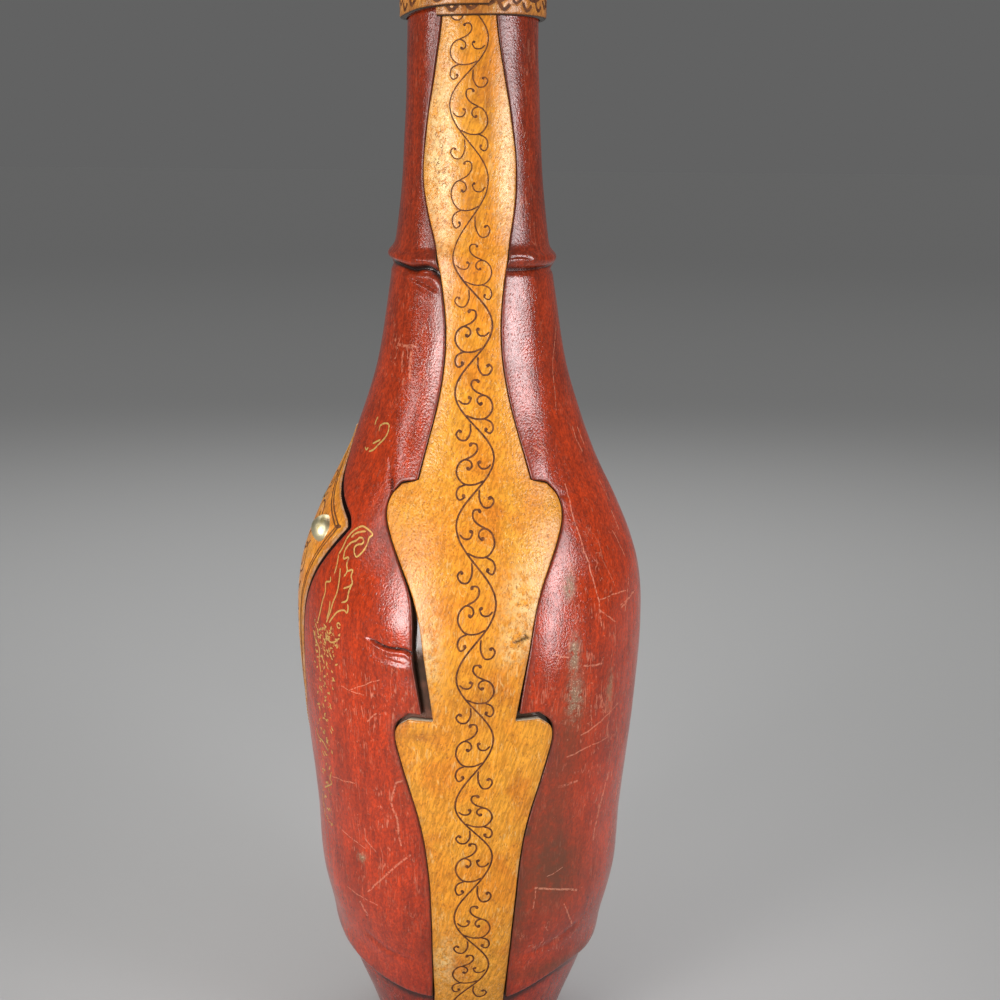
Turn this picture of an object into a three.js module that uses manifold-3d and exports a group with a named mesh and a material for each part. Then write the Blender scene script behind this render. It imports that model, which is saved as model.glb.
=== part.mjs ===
// A leather-wrapped decanter: a dark glass bottle in a fitted leather jacket, closed by a knob on a cork.
// Millimetres, +Z up. The origin is the middle of the face it stands on, and the shield faces -Y.
import * as THREE from "three";
import { mergeVertices } from "three/addons/utils/BufferGeometryUtils.js";
import Module from "manifold-3d";

const wasm = await Module();
wasm.setup();

// Facets of the round pieces
const turnSteps = 36;
const knobSteps = 24;
const studSteps = 12;
const levelStep = 16;

// Stock thicknesses, and the clearances between pieces
const leather = 1.6;
const knobLeather = 1.4;
const glassWall = 3.2;
const mouthWall = 3.9;
const fit = 0.3;
const cutGap = 0.6;

// Outline of the jacket: each station's rise above the one below it, and its outer radius
const padThickness = 1.5;
const padMargin = 1.5;
const soleRadius = 25.5;
const archRise = 9;
const archRadius = 28.2;
const creaseRise = 15.7;
const creaseRadius = 34.3;
const heelRise = 9;
const heelRadius = 37.9;
const flankRise = 18.5;
const flankRadius = 43;
const waistRise = 21;
const waistRadius = 44.4;
const chestRise = 30;
const chestRadius = 47.3;
const bellyRise = 27;
const bellyRadius = 48.9;
const shoulderRise = 16;
const shoulderRadius = 47.3;
const slopeRise = 14;
const slopeRadius = 42.2;
const napeRise = 18;
const napeRadius = 33.7;
const throatRise = 21;
const throatRadius = 26.6;
const gorgeRise = 21;
const gorgeRadius = 22.9;
const ringRise = 10.5;
const ringRadius = 21.4;
const neckRise = 17.5;
const neckRadius = 19.2;
const upperNeckRise = 25;
const upperNeckRadius = 17.8;
const collarRise = 18.7;
const collarRadius = 17.3;

// The bead round the foot of the neck
const beadHeight = 1.3;
const beadHalfWidth = 4;

// Collar band, and how far the jacket runs up under it
const collarHeight = 19.3;
const collarThickness = 1.7;
const collarTuck = 17.3;
const collarLapStart = -29;
const collarLapEnd = 11;
const collarRampTurn = 40;

// Bottle: what stands out above the collar, the base and the seat of the cork
const lipRise = 4;
const lipRound = 1.2;
const glassHeel = 4;
const glassFloor = 6;
const floorDish = 1;
const puntHeight = 5;
const puntRim = 5;
const corkSeat = 30;
const boreEase = 6;

// Strap: half widths at its named places, from the collar down
const strapTopHalf = 7.2;
const strapLobeHalf = 13.2;
const strapRingHalf = 9.2;
const strapWaistHalf = 7.3;
const strapFlareHalf = 8.8;
const strapNotchHalf = 15.2;
const strapCapHalf = 24.6;
const strapTaperHalf = 16.6;
const strapLedgeInner = 10.9;
const strapLedgeOuter = 17.6;
const strapSkirtHalf = 21.5;
const strapSkirtTaperHalf = 13.6;
const strapFootHalf = 10.4;
const strapEndHalf = 9.6;

// Strap: where those places lie
const strapLobeAboveRing = 21.5;
const strapWaistBelowRing = 18.5;
const strapFlareBelowRing = 33;
const strapNotchBelowRing = 56;
const strapCapDrop = 9.5;
const strapTaperDrop = 29;
const strapLedgeDrop = 61.5;
const strapSkirtDrop = 6;
const strapSkirtTaperDrop = 36;
const capRound = 4.6;
const skirtRound = 2.6;

// Shield on the front: half widths, and heights above and below its ears
const shieldNeckHalf = 13.4;
const shieldEarHalf = 28.6;
const shieldBodyHalf = 18;
const shieldTaperHalf = 12.4;
const shieldTipAboveEar = 24;
const shieldNeckAboveEar = 9;
const shieldBodyBelowEar = 22;
const shieldTaperBelowEar = 47;
const shieldPointBelowEar = 75;
const shieldEarAboveShoulder = 14.2;
const earRound = 1.6;

// Brass studs
const studRadius = 3.9;
const studDome = 3.1;
const studShankRadius = 0.8;
const studShankLength = 1.4;
const studOut = 17;
const studBelowEar = 3;

// Stopper: cork, turned core, leather cover, band and its stud
const corkClearance = 0.35;
const corkTaper = 0.8;
const corkDepth = 26;
const corkSocket = 6;
const flangeRadius = 16.2;
const flangeHeight = 5.6;
const knobWaistRadius = 13.4;
const knobWaistRise = 3;
const knobRadius = 17.4;
const knobRise = 14;
const knobSwellRadius = 16.2;
const knobSwellRise = 6.3;
const knobCrown = 13;
const bandThickness = 1.6;
const knobStudRadius = 4.2;
const knobStudDome = 2.4;

// Closed mesh of positions only, as a solid for joining and cutting.
function solidOf(geometry) {
  const plain = geometry.index ? geometry.toNonIndexed() : geometry.clone();
  plain.deleteAttribute("normal");
  plain.deleteAttribute("uv");
  const merged = mergeVertices(plain, 1e-4);
  const vertProperties = new Float32Array(merged.attributes.position.array);
  const triVerts = new Uint32Array(merged.index.array);
  return new wasm.Manifold(new wasm.Mesh({ numProp: 3, vertProperties, triVerts }));
}

// Geometry of a solid, with flat faces.
function geometryOf(solid) {
  const mesh = solid.getMesh();
  const geometry = new THREE.BufferGeometry();
  geometry.setAttribute("position", new THREE.BufferAttribute(mesh.vertProperties, 3));
  geometry.setIndex(new THREE.BufferAttribute(mesh.triVerts, 1));
  const flat = geometry.toNonIndexed();
  flat.computeVertexNormals();
  return flat;
}

// Turns an outline of [radius, height] points about the Z axis.
function turned(points, steps = turnSteps) {
  const profile = points.map(([radius, height]) => new THREE.Vector2(radius, height));
  return new THREE.LatheGeometry(profile, steps).rotateX(Math.PI / 2);
}

// Smooth curve through [x, y] points that never swings past them, as a list of such points.
function smooth(points, steps) {
  const places = points.map(([x, y]) => new THREE.Vector3(x, y, 0));
  const curve = new THREE.CatmullRomCurve3(places, false, "centripetal");
  return curve.getPoints(steps).map((place) => [place.x, place.y]);
}

// Heights and radii of the jacket's stations, each stacked on the one below.
function stacked(rows) {
  const stations = {};
  let height = 0;
  for (const [name, rise, radius] of rows) {
    height += rise;
    stations[name] = { height, radius };
  }
  return stations;
}

const jacket = stacked([
  ["sole", padThickness + fit, soleRadius],
  ["arch", archRise, archRadius],
  ["crease", creaseRise, creaseRadius],
  ["heel", heelRise, heelRadius],
  ["flank", flankRise, flankRadius],
  ["waist", waistRise, waistRadius],
  ["chest", chestRise, chestRadius],
  ["belly", bellyRise, bellyRadius],
  ["shoulder", shoulderRise, shoulderRadius],
  ["slope", slopeRise, slopeRadius],
  ["nape", napeRise, napeRadius],
  ["throat", throatRise, throatRadius],
  ["gorge", gorgeRise, gorgeRadius],
  ["ring", ringRise, ringRadius],
  ["neck", neckRise, neckRadius],
  ["upperNeck", upperNeckRise, upperNeckRadius],
  ["collar", collarRise, collarRadius],
  ["lip", collarHeight + lipRise, collarRadius],
]);
const stations = Object.values(jacket);
const coverTop = jacket.collar.height + collarTuck;
const footFloor = jacket.sole.height + leather;

// Slope of the outline at a station, from its neighbours.
function slopeAt(index) {
  const below = stations[Math.max(index - 1, 0)];
  const above = stations[Math.min(index + 1, stations.length - 1)];
  return (above.radius - below.radius) / (above.height - below.height);
}

// Radius of the smooth outline at a height.
function plainRadius(height) {
  const last = stations.length - 2;
  const found = stations.findIndex((_, i) => i === last || height < stations[i + 1].height);
  const [low, high] = [stations[found], stations[found + 1]];
  const span = high.height - low.height;
  const t = Math.min(Math.max((height - low.height) / span, 0), 1);
  const fromLow = low.radius * (1 + 2 * t) + slopeAt(found) * span * t;
  const fromHigh = high.radius * (3 - 2 * t) - slopeAt(found + 1) * span * (1 - t);
  return fromLow * (1 - t) ** 2 + fromHigh * t * t;
}

// How far the bead round the neck stands out at a height.
function beadAt(height) {
  const away = Math.min(Math.abs(height - jacket.ring.height) / beadHalfWidth, 1);
  return beadHeight * (1 - away * away) ** 2;
}

// Heights at which every shell has its rings, so that nested shells keep their clearance.
function shellLevels() {
  const heights = [];
  stations.slice(1).forEach((station, i) => {
    const low = stations[i].height;
    const parts = Math.ceil((station.height - low) / levelStep);
    for (let k = 0; k < parts; k++) heights.push(low + ((station.height - low) * k) / parts);
  });
  heights.push(jacket.lip.height);
  for (const share of [-1, -0.5, 0.5, 1]) heights.push(jacket.ring.height + share * beadHalfWidth);
  return heights.sort((a, b) => a - b);
}

// How much further a wall measures along the radius than square to itself.
function leanAt(height) {
  const reach = 1;
  const change = plainRadius(height + reach) - plainRadius(height - reach);
  return Math.hypot(1, change / (2 * reach));
}

const levels = shellLevels().map((height) => {
  return { height, radius: plainRadius(height) + beadAt(height), lean: leanAt(height) };
});

// Radius of the surface that lies a depth under the jacket's outer face.
function radiusAt(height, depth = 0) {
  const found = levels.findIndex((level) => level.height >= height);
  const high = levels[Math.max(found, 1)];
  const low = levels[Math.max(found, 1) - 1];
  const t = (height - low.height) / (high.height - low.height);
  const inset = (level) => level.radius - depth * level.lean;
  return inset(low) + (inset(high) - inset(low)) * t;
}

// Rings of [radius, height] from a low to a high place, at a depth under the outer face.
function risingLine(low, high, depth) {
  const between = levels.map((level) => level.height).filter((h) => h > low + fit && h < high - fit);
  return [low, ...between, high].map((height) => [radiusAt(height, depth), height]);
}

// A leather shell of the jacket between two heights.
function leatherShell(low, high) {
  const outer = risingLine(low, high, 0);
  const inner = risingLine(low, high, leather).reverse();
  return solidOf(turned([...outer, ...inner, outer[0]]));
}

// An outline moved outwards by a gap, corner by corner. The points run anticlockwise.
function spread(points, gap) {
  const count = points.length;
  return points.map(([x, y], i) => {
    const [px, py] = points[(i + count - 1) % count];
    const [nx, ny] = points[(i + 1) % count];
    const before = new THREE.Vector2(y - py, px - x).normalize();
    const after = new THREE.Vector2(ny - y, x - nx).normalize();
    const middle = before.clone().add(after).normalize();
    const reach = gap / Math.max(middle.dot(after), 0.5);
    return [x + middle.x * reach, y + middle.y * reach];
  });
}

// A closed outline from the right side, given from the top down, and its mirror image.
function mirrored(side) {
  const right = [...side].reverse();
  const left = side.filter(([x]) => x > 0).map(([x, y]) => [-x, y]);
  return [...right, ...left];
}

// Widths along the leather become widths across the bottle.
function asChords(side) {
  return side.map(([half, height]) => {
    const radius = radiusAt(height);
    return [radius * Math.sin(half / radius), height];
  });
}

// A prism of an outline seen from outside the bottle, facing a bearing in degrees from +X.
function outlinePrism(points, bearing) {
  const shape = new THREE.Shape(points.map(([x, y]) => new THREE.Vector2(x, y)));
  const reach = bellyRadius + shoulderRadius;
  const geometry = new THREE.ExtrudeGeometry(shape, { depth: reach, bevelEnabled: false });
  const across = new THREE.Vector3(0, 1, 0);
  const up = new THREE.Vector3(0, 0, 1);
  const out = new THREE.Vector3(1, 0, 0);
  geometry.applyMatrix4(new THREE.Matrix4().makeBasis(across, up, out));
  return solidOf(geometry.rotateZ(THREE.MathUtils.degToRad(bearing)));
}

// Outline of a strap, in widths along the leather: neck and cap, then the ledge and the skirt.
const strapLow = footFloor + fit + cutGap;
const strapNotch = jacket.ring.height - strapNotchBelowRing;
const strapLedge = strapNotch - strapLedgeDrop;
function strapSide() {
  const ring = jacket.ring.height;
  const capHeight = strapNotch - strapCapDrop;
  const neckSteps = 15;
  const capSteps = 12;
  const skirtSteps = 11;
  const neckSide = smooth(
    [
      [strapTopHalf, coverTop],
      [strapTopHalf, jacket.collar.height - fit],
      [strapLobeHalf, ring + strapLobeAboveRing],
      [strapRingHalf, ring],
      [strapWaistHalf, ring - strapWaistBelowRing],
      [strapFlareHalf, ring - strapFlareBelowRing],
      [strapNotchHalf, strapNotch],
    ],
    neckSteps,
  );
  const capSide = smooth(
    [
      [strapCapHalf - capRound, strapNotch - capRound / 4],
      [strapCapHalf - capRound / 4, strapNotch - capRound],
      [strapCapHalf, capHeight],
      [strapTaperHalf, strapNotch - strapTaperDrop],
      [strapLedgeInner, strapLedge],
    ],
    capSteps,
  );
  const skirtSide = smooth(
    [
      [strapLedgeOuter, strapLedge],
      [strapSkirtHalf - skirtRound / 4, strapLedge - skirtRound],
      [strapSkirtHalf, strapLedge - strapSkirtDrop],
      [strapSkirtTaperHalf, strapLedge - strapSkirtTaperDrop],
      [strapFootHalf, jacket.heel.height],
      [strapEndHalf, strapLow],
    ],
    skirtSteps,
  );
  return [...neckSide, ...capSide, ...skirtSide];
}

// Outline of the shield: a pointed head, two ears and a long point below.
const shieldEar = jacket.shoulder.height + shieldEarAboveShoulder;
function shieldSide() {
  const headSteps = 7;
  const bodySteps = 9;
  const head = smooth(
    [
      [0, shieldEar + shieldTipAboveEar],
      [shieldNeckHalf, shieldEar + shieldNeckAboveEar],
      [shieldEarHalf - earRound, shieldEar + earRound],
    ],
    headSteps,
  );
  const body = smooth(
    [
      [shieldEarHalf, shieldEar],
      [shieldBodyHalf, shieldEar - shieldBodyBelowEar],
      [shieldTaperHalf, shieldEar - shieldTaperBelowEar],
      [0, shieldEar - shieldPointBelowEar],
    ],
    bodySteps,
  );
  return [...head, ...body];
}

const strapOutline = mirrored(asChords(strapSide()));
const shieldOutline = mirrored(asChords(shieldSide()));
const strapCut = spread(strapOutline, cutGap);
const shieldCut = spread(shieldOutline, cutGap);
const rightBearing = 0;
const leftBearing = 180;
const frontBearing = -90;

// Everything on one side of the plane through the two straps.
function halfSpace(side) {
  const reach = 2 * jacket.lip.height;
  const block = new THREE.BoxGeometry(reach, reach, reach);
  return solidOf(block.translate(0, (side * reach) / 2, 0));
}

const rightCut = outlinePrism(strapCut, rightBearing);
const leftCut = outlinePrism(strapCut, leftBearing);

// Inner wall of the bottle: it follows the outline, but not the bead.
function cavityLine(low, high, depth) {
  const between = stations.map((station) => station.height).filter((h) => h > low + fit && h < high - fit);
  return [low, ...between, high].map((height) => [plainRadius(height) - depth * leanAt(height), height]);
}

// Bottle: punted base, body and neck in one, open at the mouth.
function bottleGeometry() {
  const skin = leather + fit;
  const bottom = footFloor + fit;
  const lip = jacket.lip.height;
  const base = radiusAt(bottom + glassHeel, skin);
  const innerFloor = bottom + puntHeight + glassFloor;
  const heel = [0, 1].map((k) => {
    const angle = (k * Math.PI) / 4;
    return [base - glassHeel * (1 - Math.sin(angle)), bottom + glassHeel * (1 - Math.cos(angle))];
  });
  const mouth = collarRadius - skin;
  const bore = mouth - mouthWall;
  const outer = risingLine(bottom + glassHeel, lip - lipRound, skin);
  const seatEnd = lip - corkSeat;
  const inner = cavityLine(innerFloor, seatEnd - boreEase, skin + glassWall).reverse();
  return turned([
    [0, bottom + puntHeight],
    [base - glassHeel - puntRim, bottom],
    ...heel,
    ...outer,
    [mouth - lipRound, lip],
    [bore, lip],
    [bore, seatEnd],
    ...inner,
    [0, innerFloor - floorDish],
  ]);
}

// Foot: a leather cup under the bottle, notched for the two straps.
function footGeometry() {
  const top = jacket.crease.height - cutGap;
  const outer = risingLine(jacket.sole.height, top, 0);
  const inner = risingLine(footFloor, top, leather).reverse();
  const cup = turned([[0, jacket.sole.height], ...outer, ...inner, [0, footFloor]]);
  return geometryOf(solidOf(cup).subtract(rightCut).subtract(leftCut));
}

// Front or rear half of the jacket, cut round the straps.
function coverSolid(side) {
  const shell = leatherShell(jacket.crease.height, coverTop);
  return shell.intersect(halfSpace(side)).subtract(rightCut).subtract(leftCut);
}

function strapGeometry(bearing) {
  const shell = leatherShell(strapLow, coverTop);
  return geometryOf(shell.intersect(outlinePrism(strapOutline, bearing)));
}

// Places a piece that stands along +Z so that it stands square on the jacket.
function onJacket(geometry, height, angle) {
  const reach = 1;
  const change = (radiusAt(height + reach) - radiusAt(height - reach)) / (2 * reach);
  const tilt = Math.PI / 2 - Math.atan(-change);
  const radius = radiusAt(height);
  geometry.rotateY(tilt).translate(radius, 0, height);
  return geometry.rotateZ(angle);
}

// A domed nail with its shank, standing on its seat at height zero.
function studGeometry(radius, dome, shankRadius, shankLength) {
  const ball = (radius * radius + dome * dome) / (2 * dome);
  const half = Math.asin(Math.min(radius / ball, 1));
  const arcSteps = 5;
  const crown = [];
  for (let k = 0; k <= arcSteps; k++) {
    const angle = half * (1 - k / arcSteps);
    crown.push([ball * Math.sin(angle), fit + dome - ball + ball * Math.cos(angle)]);
  }
  crown[arcSteps][0] = 0;
  const shank = [
    [0, -shankLength],
    [shankRadius, -shankLength],
    [shankRadius, fit],
  ];
  return turned([...shank, ...crown], studSteps);
}

// A drill for a stud's hole.
function studDrill(shankRadius, depth) {
  const radius = shankRadius + fit;
  const ends = [
    [0, -depth],
    [radius, -depth],
    [radius, depth],
    [0, depth],
  ];
  return turned(ends, studSteps);
}

const studHeight = shieldEar - studBelowEar;
const studAngle = studOut / radiusAt(studHeight);
const studBearings = {
  right: THREE.MathUtils.degToRad(frontBearing) + studAngle,
  left: THREE.MathUtils.degToRad(frontBearing) - studAngle,
};

function shieldGeometry() {
  const shell = leatherShell(jacket.crease.height, coverTop);
  let plate = shell.intersect(outlinePrism(shieldOutline, frontBearing));
  for (const bearing of Object.values(studBearings)) {
    const drill = onJacket(studDrill(studShankRadius, 2 * leather), studHeight, bearing);
    plate = plate.subtract(solidOf(drill));
  }
  return geometryOf(plate);
}

function shieldStudGeometry(bearing) {
  const stud = studGeometry(studRadius, studDome, studShankRadius, studShankLength);
  return onJacket(stud, studHeight, bearing);
}

// Collar: one strip wound once round the neck, whose outer end laps over its inner end.
function collarGeometry() {
  const innerRadius = collarRadius + fit;
  const lift = collarThickness + fit;
  const turn = 360;
  const end = turn + collarLapEnd;
  const steps = Math.round(((end - collarLapStart) / turn) * turnSteps);
  const rampEnd = turn + collarLapStart;
  const inside = [];
  const outside = [];
  for (let k = 0; k <= steps; k++) {
    const degrees = collarLapStart + ((end - collarLapStart) * k) / steps;
    const share = THREE.MathUtils.smoothstep(degrees, rampEnd - collarRampTurn, rampEnd);
    const angle = THREE.MathUtils.degToRad(degrees);
    const radius = innerRadius / Math.cos(Math.PI / turnSteps) + lift * share;
    const outer = radius + collarThickness;
    inside.push(new THREE.Vector2(radius * Math.cos(angle), radius * Math.sin(angle)));
    outside.push(new THREE.Vector2(outer * Math.cos(angle), outer * Math.sin(angle)));
  }
  const strip = new THREE.Shape([...outside, ...inside.reverse()]);
  const geometry = new THREE.ExtrudeGeometry(strip, { depth: collarHeight, bevelEnabled: false });
  return geometry.translate(0, 0, jacket.collar.height);
}

const seat = jacket.lip.height + fit;
const corkRadius = collarRadius - leather - fit - mouthWall - corkClearance;

function corkGeometry() {
  const bottom = jacket.lip.height - corkDepth;
  const top = seat + corkSocket;
  return turned(
    [
      [0, bottom],
      [corkRadius - corkTaper, bottom],
      [corkRadius, jacket.lip.height],
      [corkRadius, top],
      [0, top],
    ],
    knobSteps,
  );
}

// Side of the knob above its flange, grown outwards by a depth.
function knobLine(depth) {
  const waist = seat + flangeHeight + knobWaistRise;
  const widest = waist + knobRise;
  const crownSteps = 5;
  const side = [
    [knobWaistRadius + depth, waist],
    [knobSwellRadius + depth, waist + knobSwellRise],
  ];
  for (let k = 0; k <= crownSteps; k++) {
    const angle = (k / crownSteps) * (Math.PI / 2);
    const radius = (knobRadius + depth) * Math.cos(angle);
    side.push([radius, widest + (knobCrown + depth) * Math.sin(angle)]);
  }
  side[side.length - 1][0] = 0;
  return side;
}

const knobTop = seat + flangeHeight + knobWaistRise + knobRise + knobCrown;

function coreGeometry() {
  const socket = corkRadius + fit;
  const roof = seat + corkSocket + fit;
  const body = turned(
    [
      [0, roof],
      [socket, roof],
      [socket, seat],
      [flangeRadius, seat],
      [flangeRadius, seat + flangeHeight],
      [knobWaistRadius, seat + flangeHeight],
      ...knobLine(0),
    ],
    knobSteps,
  );
  const hole = studDrill(studShankRadius, studShankLength).translate(0, 0, knobTop);
  return geometryOf(solidOf(body).subtract(solidOf(hole)));
}

function knobCoverGeometry() {
  const outer = knobLine(fit + knobLeather);
  const inner = knobLine(fit).reverse();
  const body = turned([...inner, ...outer], knobSteps);
  const hole = studDrill(studShankRadius, knobStudDome + knobLeather).translate(0, 0, knobTop);
  return geometryOf(solidOf(body).subtract(solidOf(hole)));
}

function bandGeometry() {
  const inner = flangeRadius + fit;
  const outer = inner + bandThickness;
  const low = seat;
  const high = seat + flangeHeight;
  const section = [
    [inner, low],
    [outer, low],
    [outer, high],
    [inner, high],
    [inner, low],
  ];
  return turned(section, knobSteps);
}

function knobStudGeometry() {
  const onCover = knobTop + fit + knobLeather;
  const shank = knobLeather + studShankLength - fit;
  const stud = studGeometry(knobStudRadius, knobStudDome, studShankRadius, shank);
  return stud.translate(0, 0, onCover);
}

function padGeometry() {
  const radius = soleRadius - padMargin;
  const section = [
    [0, 0],
    [radius, 0],
    [radius, padThickness],
    [0, padThickness],
  ];
  return turned(section);
}

// Materials
function material(color, roughness, metalness = 0) {
  return new THREE.MeshStandardMaterial({ color, roughness, metalness });
}
const redLeather = () => material(0x7a2a1c, 0.42);
const tanLeather = () => material(0xb8702e, 0.5);
const darkGlass = () => material(0x10160f, 0.08);
const brass = () => material(0xb39450, 0.3, 1);
const cork = () => material(0xb08a5a, 0.9);
const turnedWood = () => material(0x8a5a34, 0.6);
const felt = () => material(0x3a2a20, 0.95);

const frontCover = coverSolid(-1).subtract(outlinePrism(shieldCut, frontBearing));
const pieces = [
  ["glass_bottle", bottleGeometry(), darkGlass()],
  ["front_cover", geometryOf(frontCover), redLeather()],
  ["rear_cover", geometryOf(coverSolid(1)), redLeather()],
  ["right_strap", strapGeometry(rightBearing), tanLeather()],
  ["left_strap", strapGeometry(leftBearing), tanLeather()],
  ["front_shield", shieldGeometry(), tanLeather()],
  ["shield_stud_right", shieldStudGeometry(studBearings.right), brass()],
  ["shield_stud_left", shieldStudGeometry(studBearings.left), brass()],
  ["neck_collar", collarGeometry(), tanLeather()],
  ["foot_cover", footGeometry(), redLeather()],
  ["base_pad", padGeometry(), felt()],
];
const stopperPieces = [
  ["stopper_cork", corkGeometry(), cork()],
  ["stopper_core", coreGeometry(), turnedWood()],
  ["stopper_cover", knobCoverGeometry(), redLeather()],
  ["stopper_band", bandGeometry(), tanLeather()],
  ["stopper_stud", knobStudGeometry(), brass()],
];

// A group of named meshes.
function assembled(rows) {
  const group = new THREE.Group();
  for (const [name, geometry, finish] of rows) {
    const mesh = new THREE.Mesh(geometry, finish);
    mesh.name = name;
    group.add(mesh);
  }
  return group;
}

const decanter = new THREE.Group();
decanter.add(assembled(pieces));
decanter.add(assembled(stopperPieces));

export default decanter;
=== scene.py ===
"""Dresses the leather-wrapped decanter: red jacket, tooled straps, shield, collar, stopper and studio.

Sizes are millimetres in the part's own frame: +Z up, the shield faces -Y, the straps face +X and -X.
"""
import logging
import math
from dataclasses import dataclass, field
from enum import Enum
from typing import Callable, Dict, List, Sequence, Tuple, Union

import bpy
import numpy as np
from mathutils import Matrix, Vector, kdtree


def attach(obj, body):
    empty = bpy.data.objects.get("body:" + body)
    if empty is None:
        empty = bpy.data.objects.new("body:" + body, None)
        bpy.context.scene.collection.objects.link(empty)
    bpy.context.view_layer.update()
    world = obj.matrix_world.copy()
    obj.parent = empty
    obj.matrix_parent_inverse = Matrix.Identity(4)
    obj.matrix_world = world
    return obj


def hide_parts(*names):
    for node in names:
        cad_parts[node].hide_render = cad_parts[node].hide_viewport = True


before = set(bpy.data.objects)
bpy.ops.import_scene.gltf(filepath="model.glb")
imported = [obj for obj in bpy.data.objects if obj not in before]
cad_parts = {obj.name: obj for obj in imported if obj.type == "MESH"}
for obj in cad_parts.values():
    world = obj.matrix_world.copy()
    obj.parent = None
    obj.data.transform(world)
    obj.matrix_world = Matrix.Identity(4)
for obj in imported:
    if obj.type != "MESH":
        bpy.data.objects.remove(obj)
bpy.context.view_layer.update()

MM = 0.001
TINY = 1e-9
SLIVER = 1e-7
SHARP = 40
RIBBON_CROWN = 0.03
VINE_SUNK = -0.02
VINE_KEEL = 0.3
FAR_SIDE = 1000
SIDEWAYS = 0.6
ROLL_SHARES = (0, 0.1, 0.33, 0.64)
LOG = logging.getLogger("decanter")
Array = np.ndarray
Pair = Tuple[float, float]
Triple = Tuple[float, float, float]
Colour = Triple
Piece = bpy.types.Object
Material = bpy.types.Material
Socket = bpy.types.NodeSocket
Node = bpy.types.Node
Tree = bpy.types.NodeTree
Inputs = Dict[Union[int, str], object]
Surface = Callable[[Array, Array, Array], Array]


class Body(Enum):
    """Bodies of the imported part."""

    BOTTLE = "bottle"
    STOPPER = "stopper"


class Slot(Enum):
    """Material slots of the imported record."""

    GLASS = "dark_glass"
    RED = "red_leather"
    TAN = "tan_leather"
    BRASS = "brass"
    CORK = "cork"
    WOOD = "turned_wood"
    FELT = "felt"


class Half(Enum):
    """Halves of the jacket, by the side of the Y axis that they cover."""

    FRONT = -1
    REAR = 1


class Bearing(Enum):
    """Sides that the two straps face, by the sign of X."""

    RIGHT = 1
    LEFT = -1


# Curves and fields


def smoothstep(low: float, high: float, value: Array) -> Array:
    """Shares that rise smoothly from 0 at a low value to 1 at a high one."""
    t = np.clip((value - low) / (high - low), 0, 1)
    return t * t * (3 - 2 * t)


def smooth_line(points: Sequence[Pair], per_span: int = 12) -> Array:
    """Centripetal curve through points, which never swings past them.

    Args:
        points: places that the curve passes, in order.
        per_span: steps between two of them.

    Returns:
        Points of the curve, one per row.
    """
    given = np.asarray(points, float)
    padded = np.vstack([2 * given[0] - given[1], given, 2 * given[-1] - given[-2]])
    spans = []
    for k in range(1, len(padded) - 2):
        p0, p1, p2, p3 = padded[k - 1:k + 3]
        t1 = math.sqrt(np.linalg.norm(p1 - p0))
        t2 = t1 + math.sqrt(np.linalg.norm(p2 - p1))
        t3 = t2 + math.sqrt(np.linalg.norm(p3 - p2))
        t = np.linspace(t1, t2, per_span, endpoint=False)[:, None]
        a1 = ((t1 - t) * p0 + t * p1) / t1
        a2 = ((t2 - t) * p1 + (t - t1) * p2) / (t2 - t1)
        a3 = ((t3 - t) * p2 + (t - t2) * p3) / (t3 - t2)
        b1 = ((t2 - t) * a1 + t * a2) / t2
        b2 = ((t3 - t) * a2 + (t - t1) * a3) / (t3 - t1)
        spans.append(((t2 - t) * b1 + (t - t1) * b2) / (t2 - t1))
    spans.append(given[-1:])
    return np.vstack(spans)


def spaced(line: Array, places: Array, sideways: float = 1) -> Array:
    """Points at given shares of a line's length.

    Args:
        line: points of the line.
        places: shares of the length, from 0 to 1.
        sideways: how much a step along the first coordinate counts.

    Returns:
        One point per share.
    """
    steps = np.diff(line, axis=0) * (sideways, 1)
    run = np.concatenate([[0], np.cumsum(np.linalg.norm(steps, axis=1))])
    at = places * run[-1]
    return np.column_stack([np.interp(at, run, line[:, 0]), np.interp(at, run, line[:, 1])])


def evenly(line: Array, step: float) -> Array:
    """Points of a line at even steps of about a given length."""
    length = np.linalg.norm(np.diff(line, axis=0), axis=1).sum()
    return spaced(line, np.linspace(0, 1, max(int(length / step), 2) + 1))


def lumps(points: Array, wavelength: float, seed: int) -> Array:
    """Smooth unevenness from -1 to 1, the same each run.

    Args:
        points: places in millimetres, with coordinates in the last axis.
        wavelength: size of the lumps.
        seed: picks another pattern.

    Returns:
        Unevenness at each place.
    """
    waves = 7
    total = np.zeros(points.shape[:-1])
    for k in range(waves):
        turn = 2.4 * k + 1.7 * seed
        rise = math.sin(3.1 * k + seed)
        across = math.sqrt(1 - 0.6 * rise * rise)
        way = np.array([across * math.cos(turn), across * math.sin(turn), rise])
        pitch = wavelength * (0.7 + 0.6 * ((k * 0.618 + 0.37 * seed) % 1))
        total += np.sin(points @ way * (2 * math.pi / pitch) + 1.9 * k * seed + k)
    return total / waves * 1.6


def ring_points(angle: Array, radius: Array, height: Array) -> Array:
    """Points about the Z axis, by bearing, radius and height."""
    return np.stack([radius * np.cos(angle), radius * np.sin(angle), height], axis=-1)


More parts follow.
